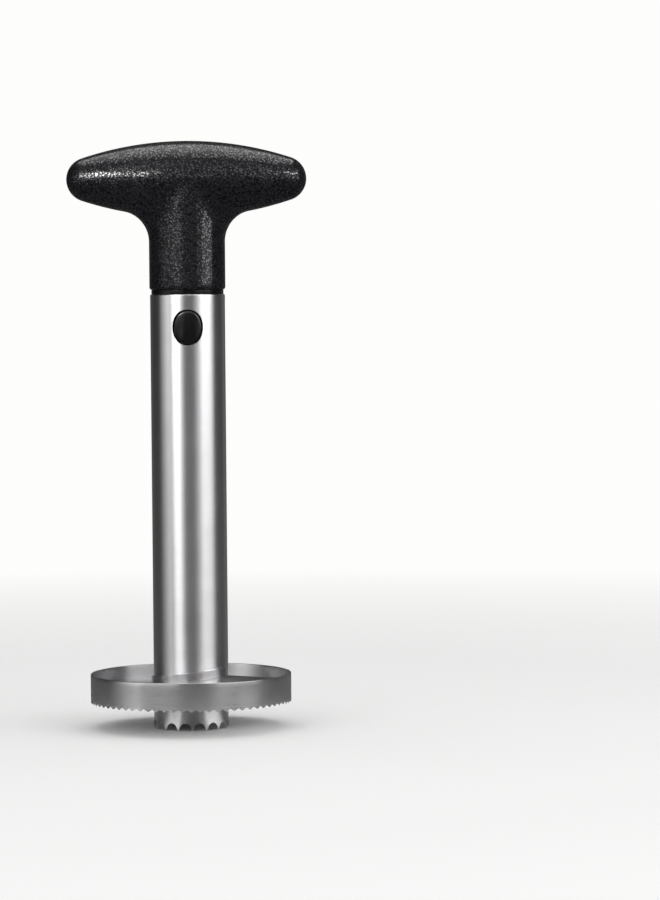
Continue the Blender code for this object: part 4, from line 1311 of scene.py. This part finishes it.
def screw_section():
    """The screw's section from head to tip, (radius, thread, height), its bearing face at zero."""
    head_foot = -SCREW_HEAD_HEIGHT
    corner = (SCREW_HEAD_RADIUS - SCREW_HEAD_ROUND, head_foot + SCREW_HEAD_ROUND)
    points = [(0.0, 0.0, head_foot)]
    points += [(r, 0.0, z) for r, z in rounded(corner, SCREW_HEAD_ROUND, -90, 0)]
    points += [(SCREW_HEAD_RADIUS, 0.0, 0.0), (SCREW_RADIUS, 0.0, 0.0)]
    points += [(SCREW_RADIUS, 0.0, SCREW_NECK_LENGTH / 2)]
    thread = SCREW_RADIUS - SCREW_CORE_RADIUS
    threaded = SCREW_LENGTH - SCREW_NECK_LENGTH
    rows = round(threaded / SCREW_THREAD_PITCH * SCREW_THREAD_ROWS)
    for i in range(rows):
        z = SCREW_NECK_LENGTH + threaded * i / rows
        taper = min((SCREW_LENGTH - z) / SCREW_TIP_LENGTH, 1)
        points.append((SCREW_CORE_RADIUS * taper, thread * taper, z))
    points.append((0.0, 0.0, SCREW_LENGTH))
    return points


def screw_recipe(section, material):
    """Turns the section with a thread round it, and sets copies of it in a row along X."""
    sizes = {"Columns": SCREW_COLUMNS, "Thread Pitch": SCREW_THREAD_PITCH,
             "Screws": SCREW_COUNT, "Spacing": SCREW_OFFSET * 2, "Bearing": WEB_UNDERSIDE}
    tree, given, out = recipe("screws_in_a_row", sizes)
    sheet, column, radius, height, thread = swept(tree, given, len(section))
    round_share = column / given["Columns"]
    crest = zigzag(height / given["Thread Pitch"] - round_share)
    out_by = calculate("MULTIPLY_ADD", crest, thread, radius)
    screw = set_round(sheet, out_by, round_share * math.tau, height)
    row = {"Count": given["Screws"], "Offset": join(given["Spacing"], 0.0, 0.0),
           "Start Location": join(given["Spacing"] * -0.5, 0.0, given["Bearing"])}
    copies = {"Points": measure(tree, "GeometryNodeMeshLine", row), "Instance": screw}
    finish_recipe(out, measure(tree, "GeometryNodeInstanceOnPoints", copies), material)
    return tree, sizes


def cross_recess(x):
    """The tapered cross that a driver fits, as a closed form to cut from a head."""
    reach, half = RECESS_REACH, RECESS_HALF_WIDTH
    arm = [(reach, -half), (reach, half), (half, half)]
    cross = []
    for i in range(4):
        c, s = round(math.cos(math.pi / 2 * i)), round(math.sin(math.pi / 2 * i))
        cross += [(u * c - v * s, u * s + v * c) for u, v in arm]
    head_foot = WEB_UNDERSIDE - SCREW_HEAD_HEIGHT
    loops = []
    for share, z in ((1.0, head_foot - RECESS_DEPTH / 2), (1.0, head_foot),
                     (RECESS_FLOOR_SHARE, head_foot + RECESS_DEPTH)):
        loops.append([(x + u * share, v * share, z) for u, v in cross])
    return skinned(loops)


def zinc_plate():
    """Zinc plating: a cool bright metal with a faint straw cast in patches and dull specks."""
    made, tree, shader = finish("screw_zinc_plate", ZINC, roughness=0.30, metallic=1.0)
    marks = use(tree, HANDLING, size=0.004)
    wear_and_highlight = use(tree, EDGE_WEAR_AND_HIGHLIGHT, reach=0.00015)["Mask"]
    feed(shader, "Base Color", tint(wear_and_highlight, tint(marks["Smears"], ZINC_COOL, ZINC_STRAW), ZINC_WORN))
    feed(shader, "Roughness", between(marks["Specks"], 0.0, 1.0, *SCREW_ROUGHNESS))
    relief(shader, marks["Specks"], depth=0.000008)
    return made


SCREW_STEEL = zinc_plate()
screw_points = screw_section()
screw_mesh = grow("screw_section", screw_points, *screw_recipe(screw_points, SCREW_STEEL))
screws_piece = shape("plug_screws", screw_mesh)
for x in (-SCREW_OFFSET, SCREW_OFFSET):
    cut_out(screws_piece, cross_recess(x))
screws_piece.data.materials.clear()
screws_piece.data.materials.append(SCREW_STEEL)
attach(screws_piece, "handle")
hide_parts("plug_screw_left", "plug_screw_right")

# Button springs
# A compression spring of hard-drawn stainless wire behind each button, its end curls laid close.
# It sits over the pegs of post and button, and shortens by the button's travel.

SPRING_WIRE = 0.0006
SPRING_RADIUS = 0.0027
SPRING_CURLS = 5
SPRING_START = 0.0013
SPRING_LENGTH = 0.0070
SPRING_CLOSED_CURLS = 0.9
SPRING_CURL_POINTS = 40
SPRING_SIDES = 14
BUTTON_TRAVEL = 0.003
BUTTON_SIDES = ((-1, "front_button"), (1, "rear_button"))
WIRE_GREY = (0.46, 0.46, 0.48, 1.0)
WIRE_DARK = (0.44, 0.44, 0.46, 1.0)
WIRE_LIGHT = (0.54, 0.53, 0.52, 1.0)
DRAW_STRETCH = (6000.0, 1500.0, 6000.0)
WIRE_ROUGHNESS = (0.24, 0.38)


def spring_recipe(material):
    """A wire swept along curls on a circle, close at both ends and even between them."""
    sizes = {"Curls": float(SPRING_CURLS), "Closed Curls": SPRING_CLOSED_CURLS,
             "Points": SPRING_CURLS * SPRING_CURL_POINTS, "Wire": SPRING_WIRE,
             "Radius": SPRING_RADIUS, "Length": SPRING_LENGTH}
    tree, given, out = recipe("button_spring", sizes)
    line = {"Curve": measure(tree, "GeometryNodeCurvePrimitiveLine"), "Count": given["Points"]}
    path = measure(tree, "GeometryNodeResampleCurve", line)
    curls, closed_curls, wire = given["Curls"], given["Closed Curls"], given["Wire"]
    curl = measure(tree, "GeometryNodeSplineParameter", output="Factor") * curls
    closed_height = closed_curls * wire
    open_height = given["Length"] - (closed_height * 2.0 + wire)
    last_open = curls - closed_curls
    low = between(curl, 0.0, closed_curls, 0.0, closed_height)
    middle = between(curl, closed_curls, last_open, 0.0, open_height)
    high = between(curl, last_open, curls, 0.0, closed_height)
    half_wire = wire * 0.5
    rise = low + middle + high + half_wire
    coil = set_round(path, given["Radius"], curl * math.tau, rise)
    circle_size = {"Resolution": SPRING_SIDES, "Radius": half_wire}
    section = measure(tree, "GeometryNodeCurvePrimitiveCircle", circle_size, "Curve")
    drawn = {"Curve": coil, "Profile Curve": section, "Fill Caps": True}
    finish_recipe(out, measure(tree, "GeometryNodeCurveToMesh", drawn), material)
    return tree, sizes


def drawn_wire():
    """Hard-drawn stainless wire: darker than sheet, with fine draw marks and a greasy film."""
    made, tree, shader = finish("spring_wire", WIRE_GREY, roughness=0.30, metallic=1.0)
    smears = use(tree, HANDLING, size=0.003)["Smears"]
    draw = noise(object_place(tree, DRAW_STRETCH))
    feed(shader, "Base Color", tint(smears, WIRE_DARK, WIRE_LIGHT))
    feed(shader, "Roughness", between(draw, *LINE_BOUNDS, *WIRE_ROUGHNESS))
    relief(shader, draw, depth=0.000003)
    return made


SPRING_STEEL = drawn_wire()
for side, name in BUTTON_SIDES:
    spring_mesh = grow(f"{name}_coil_point", [(0, 0, 0)], *spring_recipe(SPRING_STEEL))
    laid = Matrix.Rotation(math.radians(-90 * side), 4, "X")
    shift = Matrix.Translation((0, side * SPRING_START, WINDOW_HEIGHT))
    spring_mesh.transform(shift @ laid)
    spring_piece = shape(f"{name}_coil", spring_mesh)
    spring_piece.data.materials.append(SPRING_STEEL)
    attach(spring_piece, "handle")
    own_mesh(spring_piece)
    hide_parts(f"{name}_spring")

# Push buttons
# Two black acetal buttons that lock the plug in the tube. Each has an oval cap, curved as the tube
# is and rounded at its rim, a flange that stops it behind the window, and a peg for its spring.

BUTTON_PROUD = 0.0002
BUTTON_ROUND = 0.00045
BUTTON_ROUND_STEPS = 8
BUTTON_FACE_SHARES = (0.82, 0.62, 0.42, 0.22, 0.06)
FLANGE_LAP = 0.0012
FLANGE_BACK = 0.0086
FLANGE_ROUND = 0.0002
BUTTON_HALF_WIDTH = WINDOW_HALF_WIDTH - BUTTON_CLEARANCE
BUTTON_HALF_HEIGHT = WINDOW_HALF_HEIGHT - BUTTON_CLEARANCE
BUTTON_FACE = TUBE_RADIUS + BUTTON_PROUD
FLANGE_FRONT = PLUG_BORE - PLUG_CLEARANCE
BUTTON_PEG_LENGTH = (
    FLANGE_BACK - POST_HALF_THICKNESS - POST_PEG_LENGTH - BUTTON_TRAVEL - PLUG_CLEARANCE
)
BUTTON_BLACK = (0.0030, 0.0028, 0.0032, 1.0)
BUTTON_FLOW = (0.0046, 0.0043, 0.0049, 1.0)
# Painted highlight: the buttons' rim colour is set far lighter than wear alone would make it, to
# stand for the light their rounded rim catches.
BUTTON_RIM_WEAR_AND_HIGHLIGHT = (0.120, 0.117, 0.122, 1.0)


def push_button(name, side):
    """A button facing its side of the tube, -1 for the front, built of loops from peg to face."""

    def curved(half_width, half_height, radius):
        return [
            (x, math.sqrt(radius**2 - x**2), z) for x, z in oval(half_width, half_height)
        ]

    def flat(half_width, half_height, y):
        return [(x, y, z) for x, z in oval(half_width, half_height)]

    def peg(radius, y):
        return [(radius * c, y, radius * s) for c, s in circle(OVAL_POINTS)]

    wide, high = BUTTON_HALF_WIDTH, BUTTON_HALF_HEIGHT
    brim_wide, brim_high = wide + FLANGE_LAP, high + FLANGE_LAP
    peg_end = FLANGE_BACK - BUTTON_PEG_LENGTH
    loops = [
        peg(BUTTON_PEG_RADIUS - PEG_CHAMFER, peg_end),
        peg(BUTTON_PEG_RADIUS, peg_end + PEG_CHAMFER),
        peg(BUTTON_PEG_RADIUS, FLANGE_BACK),
        flat(brim_wide - FLANGE_ROUND, brim_high - FLANGE_ROUND, FLANGE_BACK),
        flat(brim_wide, brim_high, FLANGE_BACK + FLANGE_ROUND),
        curved(brim_wide, brim_high, FLANGE_FRONT - FLANGE_ROUND),
        curved(brim_wide - FLANGE_ROUND, brim_high - FLANGE_ROUND, FLANGE_FRONT),
        curved(wide, high, FLANGE_FRONT),
    ]
    for i in range(BUTTON_ROUND_STEPS + 1):
        angle = math.pi / 2 * i / BUTTON_ROUND_STEPS
        draw_in = BUTTON_ROUND * (1 - math.cos(angle))
        radius = BUTTON_FACE - BUTTON_ROUND * (1 - math.sin(angle))
        loops.append(curved(wide - draw_in, high - draw_in, radius))
    for share in BUTTON_FACE_SHARES:
        face_wide, face_high = wide - BUTTON_ROUND, high - BUTTON_ROUND
        loops.append(curved(face_wide * share, face_high * share, BUTTON_FACE))
    placed = [[(side * x, side * y, WINDOW_HEIGHT + z) for x, y, z in loop] for loop in loops]
    return shape(name, skinned(placed))


BUTTON_PLASTIC = moulded("button_acetal", BUTTON_BLACK, BUTTON_FLOW, BUTTON_RIM_WEAR_AND_HIGHLIGHT,
                         glossy=0.09, dull=0.14, flow_size=0.005, peel_depth=0.000008,
                         specular=0.36)[0]
for side, name in BUTTON_SIDES:
    button_piece = push_button(f"{name}_cap", side)
    button_piece.data.materials.append(BUTTON_PLASTIC)
    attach(button_piece, name)
    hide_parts(name)

# Plug end cap
# A black disc snapped into the plug's mouth, so that juice stays out of the buttons. A bead round
# its rim sits in the plug's groove, and a dimple marks where the plastic ran into its mould.

END_CAP_THICKNESS = 0.0018
END_CAP_RIM_WIDTH = 0.0016
END_CAP_RIM_HEIGHT = 0.0022
END_CAP_ROUND = 0.0004
END_CAP_DISH_RADIUS = 0.0084
END_CAP_DISH_DEPTH = 0.0003
END_CAP_DISH_SLOPE = 0.0006
END_CAP_GATE_RADIUS = 0.0011
END_CAP_GATE_DEPTH = 0.00035
END_CAP_GATE_FLOOR = END_CAP_GATE_RADIUS * 0.7
END_CAP_PLAY = PLUG_CLEARANCE / 6


def end_cap():
    """The cap: a shallow dish below, a rim above, and the bead on its side."""
    foot = PLUG_FOOT.z
    outer = PLUG_BORE - END_CAP_PLAY
    floor = foot + END_CAP_THICKNESS
    top = floor + END_CAP_RIM_HEIGHT
    bead_low = foot + END_CAP_BEAD_HEIGHT + END_CAP_PLAY
    bead_high = bead_low + END_CAP_BEAD_WIDTH - END_CAP_PLAY * 2
    inner = outer - END_CAP_RIM_WIDTH
    dish = foot + END_CAP_DISH_DEPTH
    gate = dish + END_CAP_GATE_DEPTH
    outline = [
        (0.0, gate),
        (END_CAP_GATE_FLOOR, gate),
        (END_CAP_GATE_RADIUS, dish),
        (END_CAP_DISH_RADIUS - END_CAP_DISH_SLOPE, dish),
        (END_CAP_DISH_RADIUS, foot),
        *rounded((outer - END_CAP_ROUND, foot + END_CAP_ROUND), END_CAP_ROUND, -90, 0),
        (outer, bead_low),
        (outer + END_CAP_BEAD, bead_low + END_CAP_BEAD),
        (outer + END_CAP_BEAD, bead_high - END_CAP_BEAD),
        (outer, bead_high),
        *rounded((outer - END_CAP_ROUND, top - END_CAP_ROUND), END_CAP_ROUND, 0, 90),
        (inner, top),
        (inner, floor),
        (0.0, floor),
    ]
    return shape("end_cap", turned(outline, PLUG_STEPS))


end_cap_piece = end_cap()
end_cap_piece.data.materials.append(PLUG_PLASTIC)
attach(end_cap_piece, "handle")
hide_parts("plug_end_cap")

# Studio
# A pale floor before a white backdrop, with two upright softboxes and one overhead. More lamps only
# shine in the gloss, flagged off some pieces, and cards round the set give the steel its contrast.

FLOOR_HALF = 12.0
FLOOR_CELLS = 8
FLOOR_DROP = 0.0001
FLOOR_FADE = (0.30, 0.85)
FLOOR_PALE = (0.92, 0.92, 0.915, 1.0)
FLOOR_FIBRE = (0.885, 0.885, 0.88, 1.0)
FLOOR_FIBRE_SCALE = 700.0
BACKDROP = (0.985, 0.985, 0.975, 1.0)
DIFFUSE_LEVEL = 0.58
LAMP_DISTANCE = 1.15
CARD_DISTANCE = 1.32
CARD_STEP_DEGREES = 3.0
CARD_WHITE = (1.0, 0.99, 0.98, 1.0)
AIM_HEIGHT = 0.17
CARD_BLACK = (0.0, 0.0, 0.0, 1.0)
AIM = Vector((0.0, 0.0, AIM_HEIGHT))


def towards(azimuth, elevation, distance):
    """A place round the slicer. Azimuth 0 is in front of it, and 90 at its right."""
    a, e = math.radians(azimuth), math.radians(elevation)
    flat = distance * math.cos(e)
    return Vector((flat * math.sin(a), -flat * math.cos(a), AIM_HEIGHT + distance * math.sin(e)))


def seen_directly(tree):
    """1 for rays from the camera, off gloss and through glass, which see a plain backdrop."""
    rays = measures(add(tree, "ShaderNodeLightPath"))
    some = calculate("MAXIMUM", rays["Is Camera Ray"], rays["Is Glossy Ray"])
    return calculate("MAXIMUM", some, rays["Is Transmission Ray"])


def glowing(tree, colour, strength):
    """Light of a colour and strength."""
    return measure(tree, "ShaderNodeEmission", {"Color": colour, "Strength": strength})


def pale_floor():
    """A wide sheet that stands for paper, lit near the slicer and plain white far from it."""
    bm = bmesh.new()
    bmesh.ops.create_grid(bm, x_segments=FLOOR_CELLS, y_segments=FLOOR_CELLS, size=FLOOR_HALF)
    floor = shape("floor", bm)
    floor.data.transform(Matrix.Translation((0, 0, -FLOOR_DROP)))
    made, tree, shader = finish("floor_paper", FLOOR_PALE, roughness=0.75)
    place = object_place(tree)
    feed(shader, "Base Color", tint(noise(place, FLOOR_FIBRE_SCALE), FLOOR_FIBRE, FLOOR_PALE))
    shader.inputs["Specular IOR Level"].default_value = 0.0
    away = measure(tree, "ShaderNodeVectorMath", {0: place}, "Value", operation="LENGTH")
    share = between(away, *FLOOR_FADE) * seen_directly(tree)
    ends = {0: share, 1: Measure(shader.outputs[0]), 2: glowing(tree, BACKDROP, 1.0)}
    feed(tree.nodes["Material Output"], "Surface", measure(tree, "ShaderNodeMixShader", ends))
    made.cycles.emission_sampling = "NONE"
    floor.data.materials.append(made)


def softbox(name, azimuth, elevation, width_degrees, height_degrees, radiance, flagged_off=()):
    """An area lamp that spans so many degrees, seen from the slicer, and looks at it. One that is
    flagged off some pieces shows in the gloss of the others, and lights nothing else."""
    lamp = bpy.data.lights.new(name, "AREA")
    lamp.shape = "RECTANGLE"
    lamp.size = 2 * LAMP_DISTANCE * math.tan(math.radians(width_degrees / 2))
    lamp.size_y = 2 * LAMP_DISTANCE * math.tan(math.radians(height_degrees / 2))
    lamp.energy = radiance * math.pi * lamp.size * lamp.size_y
    obj = bpy.data.objects.new(name, lamp)
    obj.location = towards(azimuth, elevation, LAMP_DISTANCE)
    obj.rotation_euler = (obj.location - AIM).to_track_quat("Z", "Y").to_euler()
    obj.visible_camera = False
    bpy.context.scene.collection.objects.link(obj)
    if flagged_off:
        obj.visible_diffuse = False
        flags = bpy.data.collections.new(f"{name}_flags")
        obj.light_linking.receiver_collection = flags
        for piece in flagged_off:
            flags.objects.link(piece)
        for item in flags.collection_objects:
            item.light_linking.link_state = "EXCLUDE"


def gloss_only(obj, first, last):
    """Gives a card its own light, shaded from its first column to its last, seen in gloss alone."""
    made, tree, _ = finish(obj.name, CARD_BLACK, roughness=1.0)
    across = measure(tree, "ShaderNodeAttribute", output="Fac", attribute_name="across")
    level = between(across, 0.0, 1.0, first, last)
    feed(tree.nodes["Material Output"], "Surface", glowing(tree, CARD_WHITE, level))
    made.cycles.emission_sampling = "NONE"
    obj.data.materials.append(made)
    obj.visible_camera = False
    obj.visible_diffuse = False
    obj.visible_shadow = False
    obj.visible_transmission = False


def card(name, start, end, places, first, last=None):
    """A card round part of the set, between two places of (distance, height). Its brightness
    goes from the first value to the last along its azimuths."""
    bm = bmesh.new()
    shares = bm.verts.layers.float.new("across")
    steps = max(1, round((end - start) / CARD_STEP_DEGREES))
    rows = []
    for i in range(steps + 1):
        row = []
        for distance, height in places:
            foot = towards(start + (end - start) * i / steps, 0, distance)
            vert = bm.verts.new((foot.x, foot.y, height))
            vert[shares] = i / steps
            row.append(vert)
        rows.append(row)
    for here, there in zip(rows, rows[1:]):
        bm.faces.new((here[0], there[0], there[1], here[1]))
    gloss_only(shape(name, bm), first, first if last is None else last)


def backdrop():
    """A world that is plain white to the eye and lights the slicer softly."""
    world = bpy.data.worlds.new("backdrop")
    bpy.context.scene.world = world
    world.use_nodes = True
    tree = world.node_tree
    light = tree.nodes["Background"]
    light.inputs["Color"].default_value = (1.0, 1.0, 1.0, 1.0)
    light.inputs["Strength"].default_value = DIFFUSE_LEVEL
    white = measure(tree, "ShaderNodeBackground", {"Color": BACKDROP, "Strength": 1.0})
    ends = {0: seen_directly(tree), 1: Measure(light.outputs[0]), 2: white}
    feed(tree.nodes["World Output"], "Surface", measure(tree, "ShaderNodeMixShader", ends))


pale_floor()
backdrop()
softbox("left_softbox", -38, 17, 46, 34, 1.35)
softbox("right_softbox", 55.5, 17, 67, 34, 1.55)
softbox("overhead_softbox", 0, 100, 60, 40, 1.2)
PLATES = (ring_piece, blade_piece)
BELOW_GRIP = (plug_piece, coring_tube_piece, *PLATES)
softbox("overhead_gloss", 4, 96, 60, 60, 3.2, PLATES)
softbox("left_gloss", -38, 22, 24, 15, 12.5, PLATES)
softbox("left_spark", -40, 22, 20, 15, 23.0, BELOW_GRIP)
softbox("right_gloss", 60, 26, 36, 12, 12.0, PLATES)
softbox("front_gloss", 0, 32, 90, 54, 1.5, BELOW_GRIP)
softbox("left_glint", -30, 18, 34, 14, 16.5, BELOW_GRIP)
softbox("right_glint", 62, 17, 34, 34, 4.4, BELOW_GRIP)
UPRIGHT = ((CARD_DISTANCE, -0.01), (CARD_DISTANCE, 3.8))
NEAR_UPRIGHT = ((1.05, 0.0), (1.05, 0.9))
FLAT = ((0.07, 0.0012), (CARD_DISTANCE, 0.0012))
UNDERFOOT = ((0.0172, 0.0004), (0.049, 0.0004))
card("front_card", -60, 82, UPRIGHT, 0.14)
card("left_fade_card", -99, -59, NEAR_UPRIGHT, 0.03, 1.9)
card("left_card", -140, -60, UPRIGHT, 0.02)
card("left_rear_card", -180, -140, UPRIGHT, 0.09)
card("right_card", 82, 132, UPRIGHT, 0.045)
card("right_rear_card", 132, 156, UPRIGHT, 0.16)
card("rear_card", 156, 180, UPRIGHT, 0.06)
card("front_low_card", -75, 82, FLAT, 0.17)
card("right_low_card", 82, 180, FLAT, 0.15)
card("left_low_card", -180, -75, FLAT, 0.13)
# Under the ring the dark gloss-only sheets are painted shade: they stand for the floor in the
# ring's shadow, as the tube's foot reflects it. The two bands between them glow.
card("left_foot_shade_card", -180, -58, UNDERFOOT, 0.05)
card("left_foot_band", -58, -24, UNDERFOOT, 0.6, 1.6)
card("front_foot_shade_card", -24, 32, UNDERFOOT, 0.05)
card("right_foot_band", 32, 78, UNDERFOOT, 1.6)
card("right_foot_shade_card", 78, 180, UNDERFOOT, 0.05)

# Camera
# A long lens straight in front of the slicer at button height, turned and tipped as the picture
# is. The view transform is the plain one.

CAMERA_PLACE = (0.0, -1.5, 0.1816)
CAMERA_LENS = 143.5
CAMERA_SENSOR = 36.0
CAMERA_NEAREST = 0.01
CAMERA_YAW = 2.254
CAMERA_PITCH = -2.52
CAMERA_ROLL = 0.44

camera = bpy.data.objects.new("camera", bpy.data.cameras.new("camera"))
camera.data.lens = CAMERA_LENS
camera.data.sensor_width = CAMERA_SENSOR
camera.data.clip_start = CAMERA_NEAREST
camera.location = CAMERA_PLACE
turn = Matrix.Rotation(math.radians(-CAMERA_YAW), 3, "Z")
tip = Matrix.Rotation(math.radians(90 + CAMERA_PITCH), 3, "X")
lean = Matrix.Rotation(math.radians(-CAMERA_ROLL), 3, "Z")
camera.rotation_euler = (turn @ tip @ lean).to_euler()
bpy.context.scene.collection.objects.link(camera)
bpy.context.scene.camera = camera
bpy.context.scene.view_settings.view_transform = "Standard"
